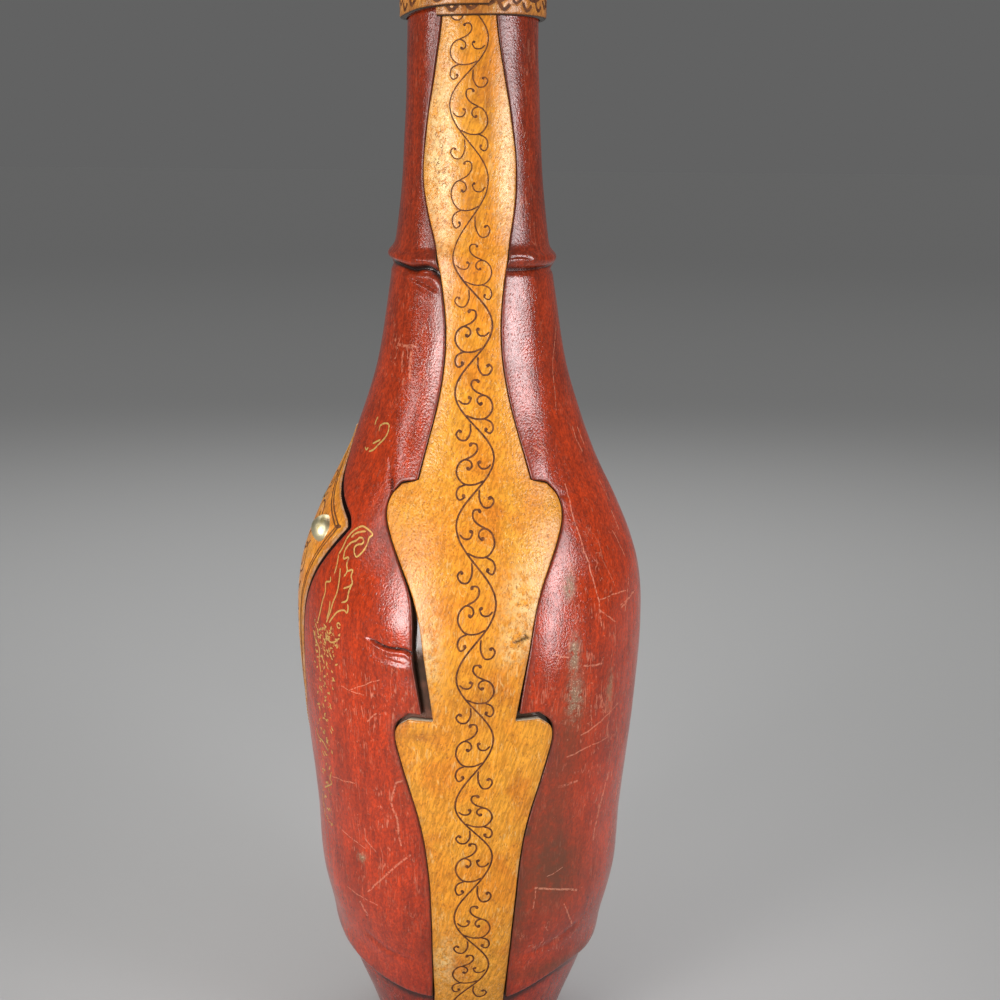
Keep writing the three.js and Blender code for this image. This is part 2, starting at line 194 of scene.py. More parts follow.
@dataclass(frozen=True)
class Crease:
    """A pressed-in line in the leather, with an optional lip along its lower side."""

    points: Tuple[Pair, ...]
    width: float
    depth: float
    lip: float = 0

    def lift(self, arc: Array, height: Array) -> Array:
        """Lift of the leather round the crease.

        Args:
            arc: places along the leather from the strap's middle.
            height: heights of those places.

        Returns:
            Lift at each place, negative in the line.
        """
        line = smooth_line(self.points, 5)
        best = np.full(arc.shape, 1e9)
        side = np.zeros(arc.shape)
        along = np.zeros(arc.shape)
        last = len(line) - 1
        for k, (start, end) in enumerate(zip(line, line[1:])):
            run = end - start
            t = np.clip(((arc - start[0]) * run[0] + (height - start[1]) * run[1]) / (run @ run), 0, 1)
            off_arc = arc - start[0] - t * run[0]
            off_height = height - start[1] - t * run[1]
            away = np.hypot(off_arc, off_height)
            nearer = away < best
            best = np.where(nearer, away, best)
            side = np.where(nearer, np.sign(run[0]) * -off_height, side)
            along = np.where(nearer, (k + t) / last, along)
        taper = np.clip(5 * np.minimum(along, 1 - along) + 0.25, 0, 1)
        line_lift = -self.depth * np.exp(-((best / self.width) ** 2))
        below = np.sign(side) * best - 2.4 * self.width
        return taper * (line_lift + self.lip * np.exp(-((below / (1.5 * self.width)) ** 2)))


@dataclass(frozen=True)
class Swell:
    """A soft bulge in the leather."""

    arc: float
    height: float
    across: float
    up: float
    rise: float

    def lift(self, arc: Array, height: Array) -> Array:
        """Lift of the leather at places given by arc and height."""
        off = ((arc - self.arc) / self.across) ** 2 + ((height - self.height) / self.up) ** 2
        return self.rise * np.exp(-off)


Feature = Union[Crease, Swell]


# Outlines that the pieces share


@dataclass(frozen=True)
class JacketOutline:
    """Outer face of the jacket, turned about the Z axis."""

    heights: Tuple[float, ...] = (
        1.8, 10.8, 26.5, 35.5, 54, 75, 105, 132, 148,
        162, 180, 201, 222, 232.5, 250, 275, 293.7, 317,
    )
    radii: Tuple[float, ...] = (
        25.5, 28.2, 34.3, 37.9, 43, 44.4, 47.3, 48.9, 47.3,
        42.2, 33.7, 26.6, 22.9, 21.4, 19.2, 17.8, 17.3, 17.3,
    )
    ring: float = 232.5
    top: float = 311
    crease: float = 26.5
    collar: float = 293.7
    lip: float = 317
    leather: float = 1.6
    fit: float = 0.3

    def radius(self, height: Array) -> Array:
        """Radius of the smooth outline.

        Args:
            height: heights to look up.

        Returns:
            Radius at each height.
        """
        h = np.asarray(self.heights)
        r = np.asarray(self.radii)
        index = np.arange(len(h))
        below = np.maximum(index - 1, 0)
        above = np.minimum(index + 1, len(h) - 1)
        slope = (r[above] - r[below]) / (h[above] - h[below])
        z = np.clip(height, h[0], h[-1])
        low = np.clip(np.searchsorted(h, z, side="right") - 1, 0, len(h) - 2)
        span = h[low + 1] - h[low]
        t = (z - h[low]) / span
        from_low = r[low] * (1 + 2 * t) + slope[low] * span * t
        from_high = r[low + 1] * (3 - 2 * t) - slope[low + 1] * span * (1 - t)
        return from_low * (1 - t) ** 2 + from_high * t * t

    def slope(self, height: Array) -> Array:
        """Change of the radius per millimetre of height."""
        reach = 0.5
        return (self.radius(height + reach) - self.radius(height - reach)) / (2 * reach)

    def place(self, angle: Array, height: Array, lift: Array) -> Array:
        """Points that stand off the outline.

        Args:
            angle: bearings in radians from +X.
            height: heights on the outline.
            lift: distances square to the outline.

        Returns:
            Points in millimetres.
        """
        slope = self.slope(height)
        lean = np.hypot(1, slope)
        radius = self.radius(height) + lift / lean
        z = height - lift * slope / lean
        return ring_points(angle, radius, z)


@dataclass(frozen=True)
class Hem:
    """Lower edge of the jacket's leather, which rises away from the straps."""

    low: float
    start: float
    end: float
    rise: float

    def height(self, arc: Array) -> Array:
        """Height of the edge by arc from a strap's middle."""
        return self.low + self.rise * smoothstep(self.start, self.end, arc)


@dataclass(frozen=True)
class CutGaps:
    """Open gaps between a strap and the leather that is cut round it."""

    neck: float = 0
    cap: float = 0
    taper: float = 0
    middle: float = 0
    ledge_side: float = 0
    ledge_rise: float = 0
    skirt: float = 0


@dataclass(frozen=True)
class StrapOutline:
    """Cut of a strap: half widths along the leather, from the collar down to the foot."""

    neck: Tuple[Pair, ...] = (
        (7.2, 311), (7.2, 293.4), (13.2, 254), (9.2, 232.5), (7.3, 214), (8.8, 199.5), (15.2, 176.5),
    )
    cap: Tuple[Pair, ...] = ((20, 175.35), (23.45, 171.9), (24.6, 167))
    taper: Pair = (16.6, 147.5)
    middle: Pair = (13.7, 132)
    ledge_inner: Pair = (10.9, 115)
    ledge_outer: Pair = (17.6, 115)
    skirt: Tuple[Pair, ...] = ((20.85, 112.4), (21.5, 109), (13.6, 79), (10.4, 35.5), (9.6, 4.3))
    drift_heights: Tuple[float, ...] = (25, 64, 115, 140, 187, 214, 236, 253, 300)
    drift_arcs: Tuple[float, ...] = (0.1, 1.2, 1.2, 1.7, 0.9, 0.5, 0.1, -0.9, -1.1)

    def side(self, gaps: CutGaps = CutGaps()) -> Array:
        """One side of the cut.

        Args:
            gaps: how far the line keeps off the strap.

        Returns:
            Points of half width and height, from the top down.
        """
        neck = smooth_line([(half + gaps.neck, z) for half, z in self.neck])
        cap = smooth_line([
            (self.cap[0][0], self.cap[0][1] + gaps.cap),
            *[(half + gaps.cap, z) for half, z in self.cap[1:]],
            (self.taper[0] + gaps.taper, self.taper[1]),
            (self.middle[0] + gaps.middle, self.middle[1]),
            (self.ledge_inner[0] + gaps.ledge_side, self.ledge_inner[1] + gaps.ledge_rise),
        ])
        skirt = smooth_line([
            (self.ledge_outer[0], self.ledge_outer[1] + gaps.ledge_rise),
            (self.skirt[0][0] + gaps.skirt, self.skirt[0][1] + 0.6 * gaps.ledge_rise),
            *[(half + gaps.skirt, z) for half, z in self.skirt[1:]],
        ])
        return np.vstack([neck, cap, skirt])

    def drift(self, height: Array) -> Array:
        """Sideways wander of the hand-cut strap's middle, towards the rear."""
        return np.interp(height, self.drift_heights, self.drift_arcs)


@dataclass(frozen=True)
class ShieldOutline:
    """Cut of the shield: half widths along the leather, from its tip down to its point."""

    head: Tuple[Pair, ...] = ((0, 186.2), (13.4, 171.2), (27, 163.8))
    body: Tuple[Pair, ...] = ((28.6, 162.2), (18, 140.2), (12.4, 115.2), (0, 87.2))
    point_share: float = 1.6

    def side(self, gap: float = 0) -> Array:
        """One side of the cut.

        Args:
            gap: how far the line keeps off the shield.

        Returns:
            Points of half width and height, from the tip down.
        """
        line = np.vstack([smooth_line(self.head), smooth_line(self.body)])
        tangent = np.gradient(line, axis=0)
        tangent /= np.linalg.norm(tangent, axis=1)[:, None]
        moved = line + gap * np.column_stack([-tangent[:, 1], tangent[:, 0]])
        moved[0] = (0, line[0, 1] + self.point_share * gap)
        moved[-1] = (0, line[-1, 1] - self.point_share * gap)
        moved[:, 0] = np.maximum(moved[:, 0], 0)
        return moved


JACKET = JacketOutline()
STRAP = StrapOutline()
SHIELD = ShieldOutline()


# Mesh making


def deselect() -> None:
    """Leaves object mode with nothing selected."""
    if bpy.context.object is not None and bpy.context.object.mode != "OBJECT":
        bpy.ops.object.mode_set(mode="OBJECT")
    bpy.ops.object.select_all(action="DESELECT")


def select_only(*pieces: Piece) -> None:
    """Selects pieces and makes the first of them active.

    Args:
        pieces: objects to select.
    """
    deselect()
    for piece in pieces:
        piece.select_set(True)
    bpy.context.view_layer.objects.active = pieces[0]


def named(name: str) -> Piece:
    """Names the object that was just added, and its mesh.

    Args:
        name: its name.

    Returns:
        The object.
    """
    piece = bpy.context.object
    piece.name = name
    piece.data.name = name
    return piece


def tidy_mesh(piece: Piece, merge: float = 2e-6, fill: bool = False) -> None:
    """Merges doubles, closes ends, turns faces outwards and smooths a new mesh.

    Args:
        piece: object to work on.
        merge: distance in metres under which vertices merge.
        fill: whether open ends are closed with a face.
    """
    select_only(piece)
    bpy.ops.object.mode_set(mode="EDIT")
    bpy.ops.mesh.select_all(action="SELECT")
    bpy.ops.mesh.remove_doubles(threshold=merge)
    bpy.ops.mesh.dissolve_degenerate(threshold=SLIVER)
    if fill:
        bpy.ops.mesh.select_all(action="SELECT")
        bpy.ops.mesh.fill_holes(sides=0)
    bpy.ops.mesh.select_all(action="SELECT")
    bpy.ops.mesh.normals_make_consistent(inside=False)
    bpy.ops.object.mode_set(mode="OBJECT")
    bpy.ops.object.shade_smooth_by_angle(angle=math.radians(SHARP))


def corners(mesh: bpy.types.Mesh) -> Array:
    """Numbers of the vertices at a mesh's face corners.

    Args:
        mesh: mesh to read.

    Returns:
        One number per corner.
    """
    numbers = np.empty(len(mesh.loops), np.int32)
    mesh.loops.foreach_get("vertex_index", numbers)
    return numbers


def wrapped_grid(name: str, points: Array, wrap: Array, marks: Dict[str, Array]) -> Piece:
    """A flat grid whose vertices are laid on given points.

    Args:
        name: name of the new object.
        points: rows and columns of points in millimetres.
        wrap: arc and height of each point in millimetres, kept as the UV map "wrap".
        marks: values of each point, kept as attributes.

    Returns:
        The new object, not yet merged.
    """
    rows, columns = points.shape[:2]
    deselect()
    bpy.ops.mesh.primitive_grid_add(x_subdivisions=columns - 1, y_subdivisions=rows - 1, size=1)
    piece = named(name)
    mesh = piece.data
    mesh.vertices.foreach_set("co", (points * MM).astype(np.float32).ravel())
    layer = mesh.uv_layers.active
    layer.name = "wrap"
    layer.data.foreach_set("uv", (wrap.reshape(-1, 2)[corners(mesh)] * MM).astype(np.float32).ravel())
    for mark, values in marks.items():
        attribute = mesh.attributes.new(mark, "FLOAT", "POINT")
        attribute.data.foreach_set("value", values.astype(np.float32).ravel())
    mesh.update()
    return piece


def delete_faces(piece: Piece, chosen: Array) -> None:
    """Deletes chosen faces in edit mode.

    Args:
        piece: object to cut.
        chosen: one truth value per face.
    """
    select_only(piece)
    bpy.ops.object.mode_set(mode="EDIT")
    bpy.ops.mesh.select_mode(type="FACE")
    bpy.ops.mesh.select_all(action="DESELECT")
    bpy.ops.object.mode_set(mode="OBJECT")
    piece.data.polygons.foreach_set("select", chosen.astype(bool))
    bpy.ops.object.mode_set(mode="EDIT")
    bpy.ops.mesh.delete(type="FACE")
    bpy.ops.mesh.select_mode(type="VERT")
    bpy.ops.object.mode_set(mode="OBJECT")


def joined(name: str, pieces: Sequence[Piece]) -> Piece:
    """Joins pieces into the first of them.

    Args:
        name: name of the whole.
        pieces: objects to join.

    Returns:
        The whole.
    """
    select_only(*pieces)
    bpy.ops.object.join()
    return named(name)


def turned(name: str, profile: Sequence[Pair], steps: int) -> Piece:
    """Spins an outline of radius and height about the Z axis.

    Args:
        name: name of the new object.
        profile: points in millimetres, in order.
        steps: faces round the axis.

    Returns:
        The turned piece.
    """
    places = [Vector((radius, 0, height)) * MM for radius, height in profile]
    deselect()
    bpy.ops.mesh.primitive_plane_add(size=MM)
    piece = named(name)
    bpy.ops.object.mode_set(mode="EDIT")
    bpy.ops.mesh.select_all(action="SELECT")
    bpy.ops.mesh.merge(type="CENTER")
    bpy.ops.transform.translate(value=places[0])
    for start, end in zip(places, places[1:]):
        bpy.ops.mesh.extrude_region_move(TRANSFORM_OT_translate={"value": end - start})
    bpy.ops.mesh.select_all(action="SELECT")
    bpy.ops.mesh.spin(steps=steps, angle=2 * math.pi, center=(0, 0, 0), axis=(0, 0, 1))
    bpy.ops.object.mode_set(mode="OBJECT")
    tidy_mesh(piece)
    return piece


def dented(piece: Piece, wavelength: float, depth: float, seed: int) -> None:
    """Gives a finished mesh small hand-made unevenness along its normals.

    Args:
        piece: object to change.
        wavelength: size of the dents in millimetres.
        depth: how deep they are in millimetres.
        seed: picks another pattern.
    """
    mesh = piece.data
    count = len(mesh.vertices)
    points = np.empty(count * 3, np.float32)
    mesh.vertices.foreach_get("co", points)
    points = points.reshape(-1, 3).astype(float)
    normals = np.empty(count * 3, np.float32)
    mesh.vertex_normals.foreach_get("vector", normals)
    off = lumps(points / MM, wavelength, seed)[:, None] * depth * MM
    mesh.vertices.foreach_set("co", (points + normals.reshape(-1, 3) * off).astype(np.float32).ravel())
    mesh.update()


def dress(piece: Piece, finish: Material, body: Body, slot: Slot, nodes: Sequence[str] = ()) -> None:
    """Gives a piece its material and its place in the part.

    Args:
        piece: finished object.
        finish: its material.
        body: body that it rides on.
        slot: material slot of the record; not used.
        nodes: CAD nodes that it stands for.
    """
    piece.data.materials.clear()
    piece.data.materials.append(finish)
    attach(piece, body.value)
    if nodes:
        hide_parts(*nodes)
    faces = sum(len(polygon.vertices) - 2 for polygon in piece.data.polygons)
    LOG.info("%s: %d triangles on %s", piece.name, faces, body.value)


@dataclass
class CutEdge:
    """An edge of a leather sheet, row by row from the top down."""

    angle: Array
    height: Array
    cut: Array
    inward: float

    def step(self, distance: float) -> Tuple[Array, Array]:
        """Places a distance inside the edge.

        Args:
            distance: millimetres along the leather.

        Returns:
            Angles and heights of those places.
        """
        radius = JACKET.radius(self.height)
        arc_way = np.gradient(self.angle) * radius
        height_way = np.gradient(self.height)
        length = np.maximum(np.hypot(arc_way, height_way), TINY)
        across = -height_way / length * self.inward
        up = arc_way / length * self.inward
        reach = distance * self.cut
        return self.angle + across * reach / radius, self.height + up * reach


@dataclass
class Sheet:
    """Section points of a leather sheet: one row per height, one column per point round the section."""

    angle: Array
    height: Array
    lift: Array
    skin: Array
    rim: Array
    outer: Array

    def marks(self) -> Dict[str, Array]:
        """Attributes of the sheet: raw on cut edges and the flesh side, rim along the edges."""
        return {"raw": 1 - self.skin, "rim": self.rim}


@dataclass(frozen=True)
class Stock:
    """Leather that a sheet is cut from."""

    thickness: float = 1.6
    roll: float = 0.7
    flesh_columns: int = 8
    rim_reach: float = 1.3

    def sheet(self, first: CutEdge, second: CutEdge, angle: Array, height: Array, reach: Array) -> Sheet:
        """Closes the section of a sheet round its finished face.

        Args:
            first: edge where the face's columns start.
            second: edge where they end.
            angle: angles of the face, between the rolled edges.
            height: heights of the face.
            reach: distance of each face point from the nearer edge.

        Returns:
            The whole section, closed on itself.
        """
        columns: List[Tuple[Array, ...]] = []

        def add(a: Array, z: Array, lift: Array, skin: float, rim: Union[float, Array]) -> None:
            """Adds one column of the section."""
            columns.append((a, z, lift, np.full(a.shape, skin), np.broadcast_to(rim, a.shape)))

        def add_roll(edge: CutEdge, order: Sequence[float]) -> None:
            """Adds the rounded columns of one edge.

            Args:
                edge: edge to round.
                order: shares of the roll, in the order of the columns.
            """
            for share in order:
                a, z = edge.step(share * self.roll)
                drop = self.roll - math.sqrt(self.roll ** 2 - (self.roll * (1 - share)) ** 2)
                add(a, z, -drop * edge.cut, float(share > 0), 1)

        add_roll(first, ROLL_SHARES)
        for a, z, away in zip(angle.T, height.T, reach.T):
            add(a, z, np.zeros(len(a)), 1, np.exp(-away / self.rim_reach))
        add_roll(second, ROLL_SHARES[::-1])
        for share in np.linspace(1, 0, self.flesh_columns):
            a = first.angle + (second.angle - first.angle) * share
            z = first.height + (second.height - first.height) * share
            add(a, z, np.full(a.shape, -self.thickness), 0, 1)
        columns.append(columns[0])
        angles, heights, lifts, skins, rims = (np.stack(values, axis=1) for values in zip(*columns))
        return Sheet(angles, heights, lifts, skins, rims, lifts > -self.thickness + 0.01)


# Tooled lines


@dataclass(frozen=True)
class Stroke:
    """A tooled line: points along the leather, its width and the ball at its end."""

    points: Tuple[Pair, ...]
    width: float = 0.5
    ball: float = 0

    def line(self, step: float = 0.3) -> Array:
        """Points of the line at even steps."""
        return evenly(smooth_line(self.points, 8), step)

    def widths(self, line: Array) -> Array:
        """Widths of the line, with a round ball at its end.

        Args:
            line: points of the line.

        Returns:
            Width at each point.
        """
        steps = np.linalg.norm(np.diff(line, axis=0), axis=1)
        left = np.concatenate([np.cumsum(steps[::-1])[::-1], [0]])
        start = np.concatenate([[0], np.cumsum(steps)])
        width = self.width * np.clip(start / self.width + 0.3, 0, 1)
        if self.ball:
            off = np.clip(left - self.ball, -self.ball, self.ball)
            width = np.maximum(width * (left > 0), 2 * np.sqrt(self.ball ** 2 - off ** 2))
        else:
            width = width * np.clip(left / self.width, 0, 1)
        width[0] = 0
        width[-1] = 0
        return width


def curl(centre: Pair, radius: float, start: float, turns: float, tight: float = 0.25) -> List[Pair]:
    """Points of a spiral that winds in.

    Args:
        centre: middle of the spiral.
        radius: its outer radius.
        start: bearing of its outer end in degrees.
        turns: turns to its inner end, negative to wind clockwise.
        tight: share of the radius that is left at the inner end.

    Returns:
        Points from the outer end in.
    """
    count = max(int(abs(turns) * 10), 3)
    points = []
    for k in range(count + 1):
        share = k / count
        angle = math.radians(start) + 2 * math.pi * turns * share
        reach = radius * (1 - (1 - tight) * share)
        points.append((centre[0] + reach * math.cos(angle), centre[1] + reach * math.sin(angle)))
    return points


def flipped(strokes: Sequence[Stroke]) -> List[Stroke]:
    """Mirror images of strokes about arc zero."""
    return [Stroke(tuple((-x, z) for x, z in s.points), s.width, s.ball) for s in strokes]


def tooled_lines(
    name: str, strokes: Sequence[Stroke], surface: Surface, proud: float, depth: float,
) -> Piece:
    """Thin closed ribbons along strokes, laid on a surface.

    Args:
        name: name of the new object.
        strokes: lines to lay.
        surface: gives points for arcs, heights and lifts.
        proud: how far the ribbons' crowns stand off the surface.
        depth: how far their keels reach under it.

    Returns:
        The ribbons as one object.
    """
    rows = []
    breaks = []
    for stroke in strokes:
        line = stroke.line()
        half = stroke.widths(line)[:, None] / 2
        way = np.gradient(line, axis=0)
        way /= np.maximum(np.linalg.norm(way, axis=1), TINY)[:, None]
        side = np.column_stack([-way[:, 1], way[:, 0]])
        left = line + side * half
        right = line - side * half
        lifts = ((left, proud - RIBBON_CROWN), (line, proud), (right, proud - RIBBON_CROWN), (line, -depth))
        columns = [surface(*side.T, np.full(len(side), lift)) for side, lift in lifts]
        columns[1][[0, -1]] = columns[0][[0, -1]]
        columns[3][[0, -1]] = columns[0][[0, -1]]
        rows.append(np.stack([*columns, columns[0]], axis=1))
        breaks.append(len(line))
    points = np.vstack(rows)
    wrap = np.zeros(points.shape[:2] + (2,))
    piece = wrapped_grid(name, points, wrap, {})
    ends = np.cumsum(breaks)[:-1] - 1
    row_of_face = np.arange(len(piece.data.polygons)) // (points.shape[1] - 1)
    delete_faces(piece, np.isin(row_of_face, ends))
    tidy_mesh(piece, merge=1e-7)
    return piece


def nearest(dots: Array, arc: Array, height: Array) -> Tuple[Array, Array]:
    """Finds the nearest of some dots on the leather.

    Args:
        dots: places of the dots.
        arc: places along the leather.
        height: heights of those places.

    Returns:
        Distance to the nearest dot at each place, and that dot's number.
    """
    tree = kdtree.KDTree(len(dots))
    for k, (x, z) in enumerate(dots):
        tree.insert((x, z, 0), k)
    tree.balance()
    found = [tree.find((x, z, 0)) for x, z in zip(arc.ravel(), height.ravel())]
    away = np.array([hit[2] for hit in found]).reshape(arc.shape)
    return away, np.array([hit[1] for hit in found]).reshape(arc.shape)


def trough(arc: Array, height: Array, strokes: Sequence[Stroke], width: float, depth: float) -> Array:
    """Lift of leather that strokes are pressed into, as soft troughs of a half width and a depth."""
    away, _ = nearest(np.vstack([stroke.line() for stroke in strokes]), arc, height)
    return -depth * np.exp(-((away / width) ** 2))


# Finishes


def opaque(colour: object) -> object:
    """Adds a full alpha to a plain colour, and leaves a socket as it is."""
    return (*colour, 1) if isinstance(colour, tuple) else colour


class Graph:
    """Makes and links the nodes of one shader tree."""

    def __init__(self, tree: Tree) -> None:
        """Starts with an empty tree."""
        self.tree = tree
        tree.nodes.clear()

    def fill(self, node: Node, inputs: Inputs) -> Node:
        """Links a node's inputs to sockets, or sets their values.

        Args:
            node: node to feed.
            inputs: sockets or values by the names or numbers of the inputs.

        Returns:
            The same node.
        """
        for name, value in inputs.items():
            if isinstance(value, bpy.types.NodeSocket):
                self.tree.links.new(value, node.inputs[name])
            else:
                node.inputs[name].default_value = value
        return node

    def node(self, kind: str, inputs: Inputs, **settings: object) -> Node:
        """Adds a node.

        Args:
            kind: its type.
            inputs: what feeds it.
            settings: its own properties.

        Returns:
            The node.
        """
        made = self.tree.nodes.new(kind)
        for name, value in settings.items():
            setattr(made, name, value)
        return self.fill(made, inputs)

    def math(self, operation: str, first: object, second: object = 0, clamp: bool = False) -> Socket:
        """Result of a math node."""
        inputs = {0: first, 1: second}
        return self.node("ShaderNodeMath", inputs, operation=operation, use_clamp=clamp).outputs[0]

    def times(self, first: object, second: object) -> Socket:
        """Product of two values."""
        return self.math("MULTIPLY", first, second)

    def vector(self, operation: str, first: object, second: object = (0, 0, 0)) -> Node:
        """Adds a vector math node."""
        return self.node("ShaderNodeVectorMath", {0: first, 1: second}, operation=operation)

    def mix(self, share: object, first: object, second: object, way: str = "MIX") -> Socket:
        """Mixes two colours or sockets by the share of the second, with a blend type."""
        inputs = {0: share, 6: opaque(first), 7: opaque(second)}
        return self.node("ShaderNodeMix", inputs, data_type="RGBA", blend_type=way).outputs[2]

    def place(self) -> Socket:
        """Object coordinates."""
        return self.node("ShaderNodeTexCoord", {}).outputs["Object"]

    def noise(self, place: Socket, scale: float, detail: float = 3, rough: float = 0.55) -> Socket:
        """Cloudy noise from 0 to 1 at a scale per metre."""
        inputs = {"Vector": place, "Scale": scale, "Detail": detail, "Roughness": rough}
        return self.node("ShaderNodeTexNoise", inputs).outputs[0]

    def cells(self, place: Socket, scale: object) -> Socket:
        """Distances in irregular cells at a scale per metre."""
        return self.node("ShaderNodeTexVoronoi", {"Vector": place, "Scale": scale}).outputs["Distance"]

    def stretch(self, place: Socket, scale: Triple, lean: float = 0) -> Socket:
        """Coordinates leant about X and stretched along each axis."""
        leant = self.node("ShaderNodeMapping", {"Vector": place, "Rotation": (lean, 0, 0)}).outputs[0]
        return self.node("ShaderNodeMapping", {"Vector": leant, "Scale": scale}).outputs[0]

    def shade(self, colour: Socket, value: Socket, ends: Pair) -> Socket:
        """Multiplies a colour by a factor that runs between two ends with a value."""
        gain = self.math("ADD", self.times(value, ends[1] - ends[0]), ends[0])
        return self.mix(1, colour, gain, "MULTIPLY")

    def span(self, value: object, low: float, high: float) -> Socket:
        """Smooth rise from 0 to 1 between two values."""
        inputs = {0: value, 1: low, 2: high}
        return self.node("ShaderNodeMapRange", inputs, interpolation_type="SMOOTHSTEP").outputs[0]

    def thread(self, level: Socket, low: float, high: float) -> Socket:
        """Thin line where a noise passes its middle level."""
        off = self.math("ABSOLUTE", self.math("SUBTRACT", level, 0.5))
        return self.math("SUBTRACT", 1, self.span(off, low, high))

    def ramp(self, value: Socket, stops: Sequence[Tuple[float, Colour]]) -> Socket:
        """Colours along a value.

        Args:
            value: where to look up.
            stops: places from 0 to 1 and their colours.

        Returns:
            The colour.
        """
        made = self.node("ShaderNodeValToRGB", {0: value})
        elements = made.color_ramp.elements
        while len(elements) < len(stops):
            elements.new(0.5)
        for element, (place, colour) in zip(elements, stops):
            element.position = place
            element.color = (*colour, 1)
        return made.outputs[0]

    def mark(self, name: str) -> Socket:
        """Value of a mesh attribute."""
        return self.node("ShaderNodeAttribute", {}, attribute_name=name).outputs["Fac"]

    def bump(self, height: Socket, depth: float, strength: float = 1) -> Socket:
        """Normals bent by a relief of a depth in millimetres."""
        inputs = {"Distance": depth * MM, "Strength": strength, "Height": height}
        return self.node("ShaderNodeBump", inputs).outputs[0]

    def group(self, tree: Tree, **inputs: object) -> Dict[str, Socket]:
        """Outputs of a node group that is placed with its own values."""
        return dict(self.node("ShaderNodeGroup", inputs, node_tree=tree).outputs.items())


def new_group(
    name: str, vectors: Sequence[str], values: Sequence[str], outputs: Sequence[str],
) -> Tuple[Graph, Dict[str, Socket], Node]:
    """Starts a shader node group.

    Args:
        name: its name.
        vectors: names of its vector inputs.
        values: names of its value inputs.
        outputs: names of its outputs, which are values.

    Returns:
        Its graph, its inputs as sockets to read, and its end node to fill.
    """
    tree = bpy.data.node_groups.new(name, "ShaderNodeTree")
    sockets = [(label, "INPUT", "NodeSocketVector") for label in vectors]
    sockets += [(label, "INPUT", "NodeSocketFloat") for label in values]
    sockets += [(label, "OUTPUT", "NodeSocketFloat") for label in outputs]
    for label, way, kind in sockets:
        tree.interface.new_socket(name=label, in_out=way, socket_type=kind)
    graph = Graph(tree)
    entry = graph.node("NodeGroupInput", {})
    return graph, {socket.name: socket for socket in entry.outputs}, graph.node("NodeGroupOutput", {})


